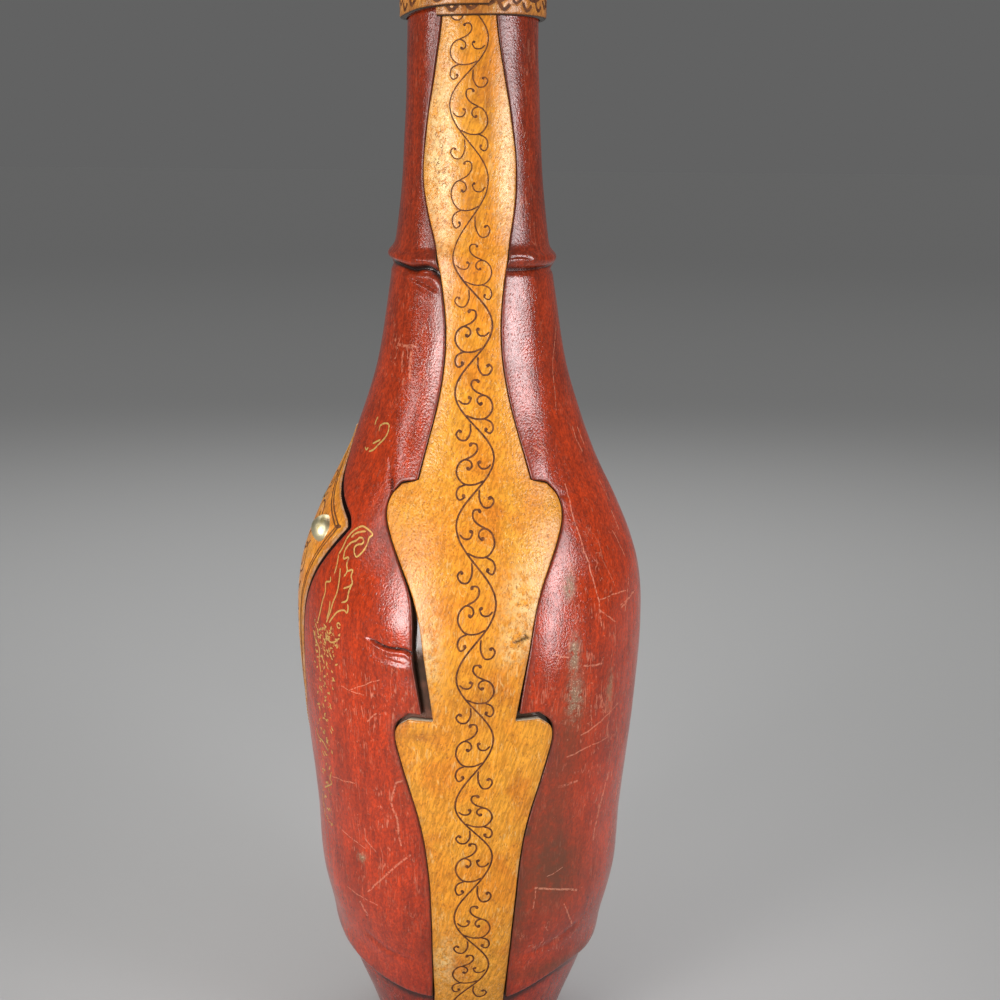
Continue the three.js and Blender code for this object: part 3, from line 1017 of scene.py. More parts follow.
class Effects:
    """Shader node groups that the finishes share."""

    HAIR_WAYS = ((0.35, 620, 0), (-0.6, 700, 0.17), (1.1, 560, 0.31), (0.05, 660, 0.53))

    def __init__(self) -> None:
        """Builds each group once."""
        self.grain = self._grain()
        self.patina = self._patina()
        self.hairlines = self._hairlines()
        self.scratch = self._scratch()

    def _grain(self) -> Tree:
        """Leather grain: pebbles with fine lines between them, and open pores.

        Returns:
            The group.
        """
        graph, get, end = new_group("leather_grain", ["Place"], ["Pebbles"], ["Height", "Pores"])
        place = get["Place"]
        pebble = graph.cells(place, get["Pebbles"])
        fine = graph.noise(place, 2400, 3, 0.65)
        pore = graph.cells(graph.stretch(place, (1, 1, 0.55), 0.3), 1500)
        open_pore = graph.math("SUBTRACT", 1, graph.span(pore, 0.14, 0.40))
        pores = graph.times(open_pore, graph.span(graph.noise(place, 420, 3), 0.36, 0.56))
        height = graph.math("SUBTRACT", graph.times(fine, 0.6), pebble)
        height = graph.math("SUBTRACT", height, graph.times(pores, 0.7))
        graph.fill(end, {"Height": height, "Pores": pores})
        return graph.tree

    def _patina(self) -> Tree:
        """Ageing: broad clouds, upright streaks, flaky patches and fine mottling.

        Returns:
            The group.
        """
        names = ["Clouds", "Streaks", "Flakes", "Mottle"]
        graph, get, end = new_group("patina", ["Place"], [], names)
        place = get["Place"]
        broad = graph.noise(place, 38, 4, 0.6)
        middle = graph.noise(place, 140, 3, 0.6)
        clouds = graph.math("ADD", graph.times(broad, 0.65), graph.times(middle, 0.35))
        streaks = graph.noise(graph.stretch(place, (1, 1, 0.12)), 430, 4, 0.8)
        mottle = graph.noise(graph.stretch(place, (1, 1, 0.6), 0.25), 1500, 2, 0.7)
        graph.fill(end, {
            "Clouds": graph.span(clouds, 0.36, 0.64),
            "Streaks": graph.span(streaks, 0.36, 0.64),
            "Flakes": graph.noise(place, 480, 6, 0.75),
            "Mottle": graph.span(mottle, 0.38, 0.62),
        })
        return graph.tree

    def _hairlines(self) -> Tree:
        """Thin scattered scratches in four leaning directions.

        Returns:
            The group.
        """
        graph, get, end = new_group("hairlines", ["Place"], [], ["Mask"])
        total = 0
        for turn, scale, seed in self.HAIR_WAYS:
            leaning = graph.node("ShaderNodeMapping", {
                "Vector": get["Place"],
                "Location": (seed, seed, seed),
                "Rotation": (turn, 0.4 * turn, 0),
                "Scale": (1, 1, 0.08),
            }).outputs[0]
            thin = graph.thread(graph.noise(leaning, scale, 1), 0.004, 0.024)
            moved = graph.vector("ADD", get["Place"], (2 + seed, seed, 1)).outputs[0]
            patch = graph.span(graph.noise(moved, 190, 3), 0.56, 0.64)
            total = graph.math("MAXIMUM", total, graph.times(thin, patch))
        graph.fill(end, {"Mask": total})
        return graph.tree

    def _scratch(self) -> Tree:
        """One straight scratch, in measures of its own width.

        Returns:
            The group.
        """
        vectors, values = ["Place", "Along", "Across"], ["Middle", "Line", "Half"]
        graph, get, end = new_group("scratch", vectors, values, ["Mask"])
        ahead = graph.vector("DOT_PRODUCT", get["Place"], get["Along"]).outputs["Value"]
        aside = graph.vector("DOT_PRODUCT", get["Place"], get["Across"]).outputs["Value"]
        ahead = graph.math("ABSOLUTE", graph.math("SUBTRACT", ahead, get["Middle"]))
        aside = graph.math("SUBTRACT", aside, get["Line"])
        past = graph.math("MAXIMUM", graph.math("SUBTRACT", ahead, get["Half"]), 0)
        squares = graph.math("ADD", graph.times(past, past), graph.times(aside, aside))
        line = graph.math("SUBTRACT", 1, graph.math("SQRT", squares), clamp=True)
        graph.fill(end, {"Mask": graph.span(line, 0, 0.7)})
        return graph.tree


def new_material(name: str) -> Tuple[Material, Graph, Node]:
    """Starts a material.

    Args:
        name: its name.

    Returns:
        The material, its graph and its Principled shader.
    """
    material = bpy.data.materials.new(name)
    material.use_nodes = True
    graph = Graph(material.node_tree)
    shader = graph.node("ShaderNodeBsdfPrincipled", {})
    graph.node("ShaderNodeOutputMaterial", {"Surface": shader.outputs[0]})
    return material, graph, shader


@dataclass(frozen=True)
class Scratch:
    """A pale scratch on the photographed side, by arc and height."""

    points: Tuple[Pair, ...]
    width: float = 0.3
    strength: float = 0.65

    def spans(self) -> List[Dict[str, object]]:
        """Its straight spans.

        Returns:
            Values of the scratch group for each span.
        """
        made = []
        for start, end in zip(self.points, self.points[1:]):
            first, last = Vector((*start, 0)), Vector((*end, 0))
            along = (last - first).normalized() / (self.width * MM)
            across = Vector((-along.y, along.x, 0))
            middle = (first + last) / 2 * MM
            made.append({
                "Along": along, "Across": across, "Middle": along.dot(middle), "Line": across.dot(middle),
                "Half": (last - first).length / 2 / self.width,
            })
        return made


@dataclass(frozen=True)
class RedLeather:
    """Oxblood leather with a rubbed lacquer."""

    name: str = "red_leather"
    tones: Tuple[Tuple[float, Colour], ...] = (
        (0.085, (0.290, 0.018, 0.002)),
        (0.12, (0.375, 0.028, 0.002)),
        (0.40, (0.365, 0.028, 0.002)),
        (0.56, (0.320, 0.027, 0.003)),
        (0.76, (0.200, 0.020, 0.004)),
    )
    dark: Colour = (0.060, 0.012, 0.005)
    scuff: Colour = (0.68, 0.25, 0.14)
    soil: Colour = (0.135, 0.034, 0.011)
    crust: Colour = (0.20, 0.115, 0.055)
    speck: Colour = (0.62, 0.50, 0.34)
    # Nearly black painted shade, laid where the mesh marks creases, the hem and the cup under it.
    painted_shade: Colour = (0.012, 0.006, 0.005)
    raw: Colour = (0.045, 0.016, 0.010)
    gloss: Colour = (1, 0.95, 0.95)
    clouds: Pair = (1.16, 0.78)
    streaks: Pair = (0.78, 1.22)
    mottle: Pair = (1.20, 0.76)
    pebbles: float = 1600
    pores: float = 0.36
    edge: float = 0.5
    roughness: float = 0.16
    dulled: float = 0.1
    lost: float = 0.35
    level: float = 0.72
    bump: float = 0.036
    wander: float = 1.2
    scratches: Tuple[Scratch, ...] = (
        Scratch(((27.8, 174.1), (29.4, 167.2), (38.1, 144.2), (38.9, 137.3)), 0.31, 0.8),
        Scratch(((29.7, 214.1), (26, 205.4), (26.3, 192.5)), 0.18),
        Scratch(((46.3, 172), (50.8, 166.3)), 0.46, 0.4),
        Scratch(((50.4, 164), (53, 159)), 0.41),
        Scratch(((48.1, 159.6), (53.8, 152.2)), 0.22),
        Scratch(((39.2, 158.9), (40.6, 153.8), (45.1, 146.6)), 0.22, 0.4),
        Scratch(((17.7, 186.8), (21.2, 182.7)), 0.24),
        Scratch(((16.7, 184.4), (20.5, 181.6)), 0.22),
        Scratch(((38.1, 144.2), (44.4, 144.4), (52, 143.6)), 0.26),
        Scratch(((48.6, 140.4), (59.6, 141.6)), 0.26),
        Scratch(((38.1, 141.6), (45.4, 136.6)), 0.24),
        Scratch(((49.5, 111.8), (40.8, 109.2), (32.8, 107)), 0.33, 0.7),
        Scratch(((43.8, 103), (37, 102.8), (27.8, 101.7)), 0.28),
        Scratch(((32.8, 127.3), (39.5, 126.2)), 0.33, 0.7),
        Scratch(((22.9, 132.3), (27.3, 130.7)), 0.28),
        Scratch(((35.7, 115.2), (36.5, 109)), 0.24),
        Scratch(((37.9, 117.9), (38, 111.6)), 0.24),
        Scratch(((25.5, 93.2), (31.7, 93.1)), 0.55, 0.4),
        Scratch(((44.3, 86.2), (40.4, 74.8)), 0.31),
        Scratch(((18.8, 63.7), (33.3, 58.7)), 0.46, 0.75),
        Scratch(((18.9, 62.8), (18.1, 57.4)), 0.24),
        Scratch(((22.6, 66.2), (27.6, 67.6)), 0.18),
        Scratch(((28.8, 55.6), (32.6, 45.8)), 0.37),
        Scratch(((-18.5, 96.5), (-20.3, 95.6), (-21.9, 89.2), (-20.1, 84.3), (-19, 76.8)), 0.42, 0.6),
        Scratch(((-45.4, 89.9), (-34.4, 91.6)), 0.24),
        Scratch(((-16.6, 74.1), (-23.6, 66.9), (-30.5, 59.1)), 0.39, 0.6),
        Scratch(((-41.4, 74.3), (-31.3, 72.4)), 0.20),
        Scratch(((-31.2, 75.6), (-27.2, 72.4)), 0.28),
        Scratch(((-39.8, 57), (-27.2, 55.8)), 0.22),
        Scratch(((-38.4, 120.1), (-30.1, 119.3)), 0.22),
        Scratch(((-35.2, 119.8), (-24.8, 124.9)), 0.22),
        Scratch(((-29, 111.9), (-26.2, 114.9)), 0.28),
        Scratch(((-33.8, 54.3), (-31.1, 51.1)), 0.64, 0.5),
        Scratch(((46.5, 91.1), (42.2, 81.5), (39.7, 71.8)), 0.34, 0.7),
        Scratch(((58.2, 85.1), (53.8, 78.8)), 0.40, 0.5),
        Scratch(((55.4, 71.3), (49.2, 64.4)), 0.36, 0.5),
        Scratch(((45.7, 113.7), (43.2, 103.8)), 0.22, 0.5),
        Scratch(((57.5, 141.6), (49.2, 139.7)), 0.40, 0.7),
        Scratch(((55, 146.8), (51.1, 137.9)), 0.28),
        Scratch(((34.1, 187.6), (35.5, 184.1), (38.2, 180.7)), 0.30, 0.6),
        Scratch(((37.5, 186.6), (40, 182.1)), 0.24),
        Scratch(((-22.7, 209.6), (-16.7, 209.9)), 0.60, 0.5),
        Scratch(((-20.4, 208), (-20.5, 202.9)), 0.50, 0.4),
        Scratch(((-17.4, 208.3), (-17.8, 201.6)), 0.60, 0.5),
        Scratch(((-13, 203.6), (-13.2, 200.2)), 0.24),
    )

    def make(self, effects: Effects) -> Material:
        """Builds the material.

        Args:
            effects: shared node groups.

        Returns:
            The material.
        """
        material, graph, shader = new_material(self.name)
        place = graph.place()
        patina = graph.group(effects.patina, Place=place)
        flakes = patina["Flakes"]
        grain = graph.group(effects.grain, Place=place, Pebbles=self.pebbles)
        colour = graph.shade(self._tone(graph, place), patina["Clouds"], self.clouds)
        colour = graph.shade(colour, patina["Streaks"], self.streaks)
        colour = graph.shade(colour, patina["Mottle"], self.mottle)
        colour = graph.mix(graph.times(grain["Pores"], self.pores), colour, self.dark)
        uneven = graph.math("ADD", graph.times(graph.span(flakes, 0.3, 0.6), 0.4), 0.45)
        colour = graph.mix(graph.math("MULTIPLY", graph.mark("soil"), uneven, True), colour, self.soil)
        crust = graph.math("MULTIPLY", graph.mark("crust"), graph.span(flakes, 0.36, 0.54), True)
        speck = graph.span(graph.noise(place, 2100, 2), 0.54, 0.66)
        colour = graph.mix(graph.times(crust, 0.85), colour, graph.mix(speck, self.crust, self.speck))
        wear_and_highlight = self._wear(graph, effects, place, flakes)
        colour = graph.mix(wear_and_highlight, colour, self.scuff)
        near_edge = graph.times(graph.mark("rim"), self.edge)
        colour = graph.mix(near_edge, colour, self.dark)
        # Painted shade: creases, the hem's roll and the cup under the hem are darkened towards nearly black.
        colour = graph.mix(graph.mark("painted_shade"), colour, self.painted_shade)
        dull = graph.math("ADD", graph.times(patina["Clouds"], self.dulled), self.roughness)
        lost = graph.math("MAXIMUM", graph.math("MAXIMUM", wear_and_highlight, crust), near_edge)
        graph.fill(shader, {
            "Base Color": graph.mix(graph.mark("raw"), colour, self.raw),
            "Roughness": graph.math("ADD", dull, graph.times(lost, self.lost)),
            "Specular IOR Level": self.level,
            "Specular Tint": (*self.gloss, 1),
            "Normal": graph.bump(grain["Height"], self.bump),
        })
        return material

    def _tone(self, graph: Graph, place: Socket) -> Socket:
        """Colour by height: dark at the neck, redder low on the body."""
        height = graph.node("ShaderNodeSeparateXYZ", {0: place}).outputs[2]
        return graph.ramp(graph.math("DIVIDE", height, JACKET.lip * MM), self.tones)

    def _wear(self, graph: Graph, effects: Effects, place: Socket, flakes: Socket) -> Socket:
        """Mask of flaked lacquer and scratches.

        Args:
            graph: the material's graph.
            effects: shared node groups.
            place: object coordinates.
            flakes: noise that breaks the lacquer up.

        Returns:
            The mask.
        """
        wear_and_highlight = graph.mark("wear_and_highlight")
        flaked = graph.span(graph.math("ADD", flakes, graph.times(wear_and_highlight, 0.08)), 0.66, 0.74)
        hairs = graph.group(effects.hairlines, Place=place)["Mask"]
        hairs = graph.times(hairs, graph.math("ADD", graph.times(wear_and_highlight, 0.55), 0.12))
        total = graph.math("MAXIMUM", graph.times(flaked, 0.45), hairs)
        wrap = graph.node("ShaderNodeUVMap", {}, uv_map="wrap").outputs[0]
        wobble = graph.node("ShaderNodeTexNoise", {"Vector": wrap, "Scale": 220}).outputs["Color"]
        bend = graph.vector("SCALE", graph.vector("SUBTRACT", wobble, (0.5, 0.5, 0.5)).outputs[0])
        graph.fill(bend, {"Scale": self.wander * MM})
        bent = graph.vector("ADD", wrap, bend.outputs[0]).outputs[0]
        lines = 0
        for scratch in self.scratches:
            for span in scratch.spans():
                mask = graph.group(effects.scratch, Place=bent, **span)["Mask"]
                lines = graph.math("MAXIMUM", lines, graph.times(mask, scratch.strength))
        broken = graph.span(graph.noise(wrap, 1100, 3, 0.7), 0.36, 0.58)
        return graph.math("MAXIMUM", total, graph.times(lines, broken))


@dataclass(frozen=True)
class TanLeather:
    """Vegetable-tanned leather, waxed, with open pores and pale cut edges."""

    name: str = "tan_leather"
    tan: Colour = (0.675, 0.286, 0.027)
    amber: Colour = (0.605, 0.193, 0.012)
    stain: Colour = (0.50, 0.140, 0.012)
    # Pale cream: rubbed wear, and painted highlights where the pale patches lie on highlit places.
    pale: Colour = (0.82, 0.58, 0.25)
    pore: Colour = (0.16, 0.046, 0.010)
    soil: Colour = (0.26, 0.075, 0.016)
    burnish: Colour = (0.20, 0.055, 0.012)
    raw: Colour = (0.76, 0.62, 0.44)
    # Nearly black painted shade, for nicks and the flesh side.
    black: Colour = (0.020, 0.010, 0.006)
    roughness: float = 0.22
    edge: float = 0.3
    gloss: Colour = (1, 0.96, 0.84)
    pebbles: float = 1350
    fibres: Pair = (0.77, 1.17)
    mottle: Pair = (1.06, 0.93)
    bump: float = 0.045

    def make(self, effects: Effects) -> Material:
        """Builds the material.

        Args:
            effects: shared node groups.

        Returns:
            The material.
        """
        material, graph, shader = new_material(self.name)
        place = graph.place()
        patina = graph.group(effects.patina, Place=place)
        flakes = patina["Flakes"]
        grain = graph.group(effects.grain, Place=place, Pebbles=self.pebbles)
        wear_and_highlight = graph.mark("wear_and_highlight")
        fibre = graph.noise(graph.stretch(place, (1, 1, 0.16), 0.3), 1500, 2, 0.7)
        colour = graph.mix(graph.times(patina["Clouds"], 0.85), self.tan, self.amber)
        blotch = graph.span(graph.noise(place, 70, 3, 0.5), 0.52, 0.70)
        colour = graph.mix(graph.times(blotch, 0.5), colour, self.stain)
        colour = graph.shade(colour, graph.span(fibre, 0.36, 0.64), self.fibres)
        colour = graph.shade(colour, patina["Mottle"], self.mottle)
        fold = graph.noise(graph.stretch(place, (1, 1, 0.7), 0.6), 520, 3, 0.6)
        broken = graph.span(graph.noise(place, 700, 2), 0.46, 0.58)
        cracks = graph.times(graph.times(graph.thread(fold, 0.006, 0.030), broken), wear_and_highlight)
        # The pale layer paints highlights at the strap's neck and beside its cap, and real rubbed wear low
        # down.
        layers = (
            (graph.times(graph.mark("soil"), graph.span(flakes, 0.32, 0.62)), 0.8, self.soil),
            (graph.times(wear_and_highlight, graph.span(flakes, 0.38, 0.6)), 0.8, self.pale),
            (grain["Pores"], 0.42, self.pore),
            (cracks, 0.7, self.pore),
            (graph.group(effects.hairlines, Place=place)["Mask"], 0.35, self.pale),
            (graph.mark("rim"), self.edge, self.burnish),
        )
        for mask, share, layer in layers:
            colour = graph.mix(graph.times(mask, share), colour, layer)
        colour = graph.mix(graph.mark("raw"), colour, self.raw)
        relief = graph.math("SUBTRACT", grain["Height"], graph.times(cracks, 0.6))
        # The base colour takes painted shade, nearly black, where the mesh marks nicks and the flesh side.
        graph.fill(shader, {
            "Base Color": graph.mix(graph.times(graph.mark("painted_shade"), 0.9), colour, self.black),
            "Roughness": graph.math("ADD", graph.times(patina["Clouds"], 0.1), self.roughness),
            "Specular IOR Level": 0.5,
            "Specular Tint": (*self.gloss, 1),
            "Normal": graph.bump(relief, self.bump),
        })
        return material


@dataclass(frozen=True)
class TwoTone:
    """A finish of two colours that a cloudy noise mixes."""

    name: str
    first: Colour
    second: Colour
    cloud: Triple
    edges: Pair
    rough: Pair
    relief: float = 0
    crisp: bool = False
    upright: float = 1
    constants: Tuple[Tuple[str, float], ...] = ()

    def make(self) -> Material:
        """Builds the material.

        Returns:
            The material.
        """
        material, graph, shader = new_material(self.name)
        place = graph.place()
        along = place if self.upright == 1 else graph.stretch(place, (1, 1, self.upright))
        cloud = graph.noise(along, *self.cloud)
        share = graph.span(cloud, *self.edges)
        value = share if self.crisp else cloud
        least, gain = self.rough
        inputs = {
            "Base Color": graph.mix(share, self.first, self.second),
            "Roughness": graph.math("ADD", graph.times(value, gain), least),
            **dict(self.constants),
        }
        if self.relief:
            inputs["Normal"] = graph.bump(value, self.relief)
        inputs.update(self.extras(graph, place, value, inputs["Base Color"]))
        graph.fill(shader, inputs)
        return material

    def extras(self, graph: Graph, place: Socket, value: Socket, colour: Socket) -> Inputs:
        """More inputs of the shader, which a finish of this kind may add."""
        return {}


class GoldFoil(TwoTone):
    """Gold lines pressed on the leather, rubbed through in places."""

    def extras(self, graph: Graph, place: Socket, value: Socket, colour: Socket) -> Inputs:
        """Metal only where the gold is left."""
        return {"Metallic": graph.times(graph.math("SUBTRACT", 1, value), 0.55)}


class DarkGlass(TwoTone):
    """Dark bottle glass with old glue films."""

    def extras(self, graph: Graph, place: Socket, value: Socket, colour: Socket) -> Inputs:
        """Slow waves of blown glass."""
        return {"Normal": graph.bump(graph.noise(place, 60, 2), 0.25, 0.4)}


class Brass(TwoTone):
    """Old domed brass, tarnished in patches."""

    def extras(self, graph: Graph, place: Socket, value: Socket, colour: Socket) -> Inputs:
        """Fine brushed scratches."""
        brushed = graph.noise(graph.stretch(place, (1, 0.25, 1)), 2600, 3)
        return {"Normal": graph.bump(brushed, 0.02)}


class Cork(TwoTone):
    """Natural cork with dark lenticels."""

    HOLE: Colour = (0.10, 0.05, 0.025)
    DEPTH: float = 0.3

    def extras(self, graph: Graph, place: Socket, value: Socket, colour: Socket) -> Inputs:
        """Holes in the cork, dark and deep."""
        holes = graph.span(graph.noise(graph.stretch(place, (1, 0.4, 1)), 330, 2), 0.6, 0.66)
        return {
            "Base Color": graph.mix(holes, colour, self.HOLE),
            "Normal": graph.bump(graph.math("SUBTRACT", value, holes), self.DEPTH),
        }


@dataclass
class Finishes:
    """All materials of the decanter, made once."""

    effects: Effects = field(default_factory=Effects)

    def __post_init__(self) -> None:
        """Builds the materials."""
        self.red = RedLeather().make(self.effects)
        self.tan = TanLeather().make(self.effects)
        # The shield's pale patches lie on its rolled rim: a painted highlight along the lip, with some wear.
        self.shield = TanLeather(
            name="shield_leather", pale=(0.70, 0.52, 0.36), raw=(0.022, 0.012, 0.012), edge=0.55,
        ).make(self.effects)
        self.collar = TanLeather(
            name="collar_leather", tan=(0.60, 0.25, 0.045), amber=(0.34, 0.100, 0.020),
            stain=(0.12, 0.036, 0.010), raw=(0.020, 0.012, 0.009), edge=0.75,
        ).make(self.effects)
        self.burnt = TwoTone(
            "burnt_line", (0.066, 0.021, 0.008), (0.175, 0.058, 0.016), (800, 3, 0.55), (0.35, 0.7),
            (0.55, 0.2), relief=0.05, crisp=True, constants=(("Specular IOR Level", 0.25),),
        ).make()
        self.gold = GoldFoil(
            "gold_foil", (0.72, 0.47, 0.14), (0.30, 0.10, 0.03), (900, 4, 0.7), (0.47, 0.66),
            (0.36, 0.25), relief=0.03, crisp=True,
        ).make()
        self.glass = DarkGlass(
            "dark_glass", (0.060, 0.034, 0.020), (0.170, 0.066, 0.038), (90, 4, 0.6), (0.42, 0.64),
            (0.06, 0.22), crisp=True, constants=(("IOR", 1.5), ("Transmission Weight", 0.2)),
        ).make()
        self.brass = Brass(
            "brass", (0.76, 0.68, 0.44), (0.40, 0.33, 0.16), (380, 5, 0.65), (0.46, 0.72),
            (0.44, 0.2), crisp=True, constants=(("Metallic", 1),),
        ).make()
        self.cork = Cork(
            "cork", (0.52, 0.34, 0.18), (0.33, 0.19, 0.09), (520, 4, 0.6), (0.35, 0.65), (0.78, 0.1),
        ).make()
        self.wood = TwoTone(
            "turned_wood", (0.38, 0.20, 0.09), (0.24, 0.11, 0.045), (700, 5, 0.65), (0.36, 0.66),
            (0.42, 0.2), relief=0.05, upright=0.12,
        ).make()
        self.felt = TwoTone(
            "felt", (0.045, 0.030, 0.024), (0.11, 0.08, 0.06), (1600, 5, 0.75), (0.35, 0.7),
            (0.92, 0.05), relief=0.25, constants=(("Sheen Weight", 0.3),),
        ).make()


# Sub-assemblies


@dataclass
class SubAssembly:
    """Pieces of the decanter that are built and dressed together."""

    finishes: Finishes


@dataclass
class GlassBottle(SubAssembly):
    """Dark bottle inside the jacket, punted, with a bead round the foot of its neck."""

    wall: float = 3.2
    mouth_wall: float = 3.9
    lip_round: float = 1.2
    heel: float = 4
    floor: float = 6
    punt: float = 5
    punt_rim: float = 5
    cork_seat: float = 30
    bore_ease: float = 6
    bead: float = 1.3
    bead_half: float = 4
    steps: int = 96

    def outer(self, height: Array) -> Array:
        """Radius of the glass, with its bead.

        Args:
            height: heights to look up.

        Returns:
            Radius at each height.
        """
        skin = JACKET.leather + JACKET.fit
        away = np.minimum(np.abs(height - JACKET.ring) / self.bead_half, 1)
        bead = self.bead * (1 - away ** 2) ** 2
        return JACKET.radius(height) - skin * np.hypot(1, JACKET.slope(height)) + bead

    def profile(self) -> List[Pair]:
        """Outline from the punt over the lip to the floor inside.

        Returns:
            Points of radius and height.
        """
        bottom = JACKET.heights[0] + JACKET.leather + JACKET.fit
        base = float(self.outer(np.array(bottom + self.heel)))
        heel = []
        for angle in np.linspace(0, math.pi / 2, 6)[:-1]:
            drop = self.heel * (1 - math.cos(angle))
            heel.append((base - self.heel * (1 - math.sin(angle)), bottom + drop))
        rise = np.linspace(bottom + self.heel, JACKET.lip - self.lip_round, 110)
        mouth = JACKET.radii[-1] - JACKET.leather - JACKET.fit
        bore = mouth - self.mouth_wall
        lip = []
        for angle in np.linspace(0, math.pi, 9)[1:]:
            middle = mouth - self.lip_round
            lip.append((middle + self.lip_round * math.cos(angle),
                        JACKET.lip - self.lip_round * (1 - math.sin(angle))))
        seat_end = JACKET.lip - self.cork_seat
        inner_floor = bottom + self.punt + self.floor
        inside = np.linspace(seat_end - self.bore_ease, inner_floor + 2, 50)
        inner = self.outer(inside) - self.wall * np.hypot(1, JACKET.slope(inside))
        return [
            (0, bottom + self.punt),
            (0.5 * (base - self.heel - self.punt_rim), bottom + 0.8 * self.punt),
            (base - self.heel - self.punt_rim, bottom + 0.3),
            (base - self.heel - 0.5 * self.punt_rim, bottom),
            *heel,
            *zip(self.outer(rise), rise),
            *lip,
            (bore, JACKET.lip - self.lip_round),
            (bore, seat_end),
            *zip(inner, inside),
            (0.7 * float(inner[-1]), inner_floor),
            (0, inner_floor - 1),
        ]

    def build(self) -> None:
        """Builds and dresses the bottle."""
        piece = turned("bottle_glass", self.profile(), self.steps)
        dress(piece, self.finishes.glass, Body.BOTTLE, Slot.GLASS, ["glass_bottle"])


@dataclass
class Vine:
    """Running vine tooled down a strap: a stem that swings to and fro, with curls in each bend."""

    turns: Tuple[float, ...] = (
        304.5, 288.3, 271.8, 253.3, 233, 216.1, 198.5, 182.5, 166,
        147.4, 127.5, 110.3, 90.4, 75.1, 56.4, 39.7, 22.5, 9,
    )
    swing: float = 5
    motif_rise: float = 16
    ball: float = 0.55
    width: float = 0.49
    neck_share: float = 0.7
    curls: Tuple[Tuple[Pair, ...], ...] = (
        ((-2.3, -5.4), (0.3, -6.3), (3, -6.1), (4.8, -3.9), (4.3, -1.6), (2.6, -0.4), (1.1, -0.9),
         (0.8, -2), (1.6, -2.7), (2.1, -2.1)),
        ((2.6, -0.4), (0.3, 0.7), (-0.7, 2), (-0.4, 3.3), (0.9, 3.4), (1.3, 2.7)),
        ((-4.2, -1.6), (-3, -2.5), (-1.5, -2.4), (-0.9, -1.2), (-1.7, -0.8)),
        ((2.3, -6.2), (4.4, -7.2), (4.9, -8.8), (4.1, -9.9), (2.9, -9.2), (3.3, -8.5)),
        ((-1.1, -7.4), (-1.1, -9.8), (-2.3, -11.6), (-3.9, -11.5), (-4.8, -10.2), (-4.1, -9.3),
         (-3.3, -9.8)),
    )

    def strokes(self) -> List[Stroke]:
        """All lines of the vine.

        Returns:
            Strokes by arc from the strap's middle and height.
        """
        made = []
        stem = []
        for k, (high, low) in enumerate(zip(self.turns, self.turns[1:])):
            side = 1 if k % 2 == 0 else -1
            for share in np.linspace(0, 1, 8, endpoint=False):
                stem.append((-side * self.swing * math.cos(math.pi * share), high + (low - high) * share))
            scale = (high - low) / self.motif_rise
            size = self.neck_share if high > JACKET.ring else 1
            for points in self.curls:
                placed = tuple((side * x, high + dz * scale) for x, dz in points)
                if placed[0][1] < JACKET.top - 6 and min(z for _, z in placed) > 7:
                    made.append(Stroke(placed, size * self.width, size * self.ball))
        at_ring = sum(z > JACKET.ring for _, z in stem)
        made.append(Stroke(tuple(stem[:at_ring + 1]), self.neck_share * self.width))
        made.append(Stroke(tuple(stem[at_ring - 1:]), self.width))
        return made


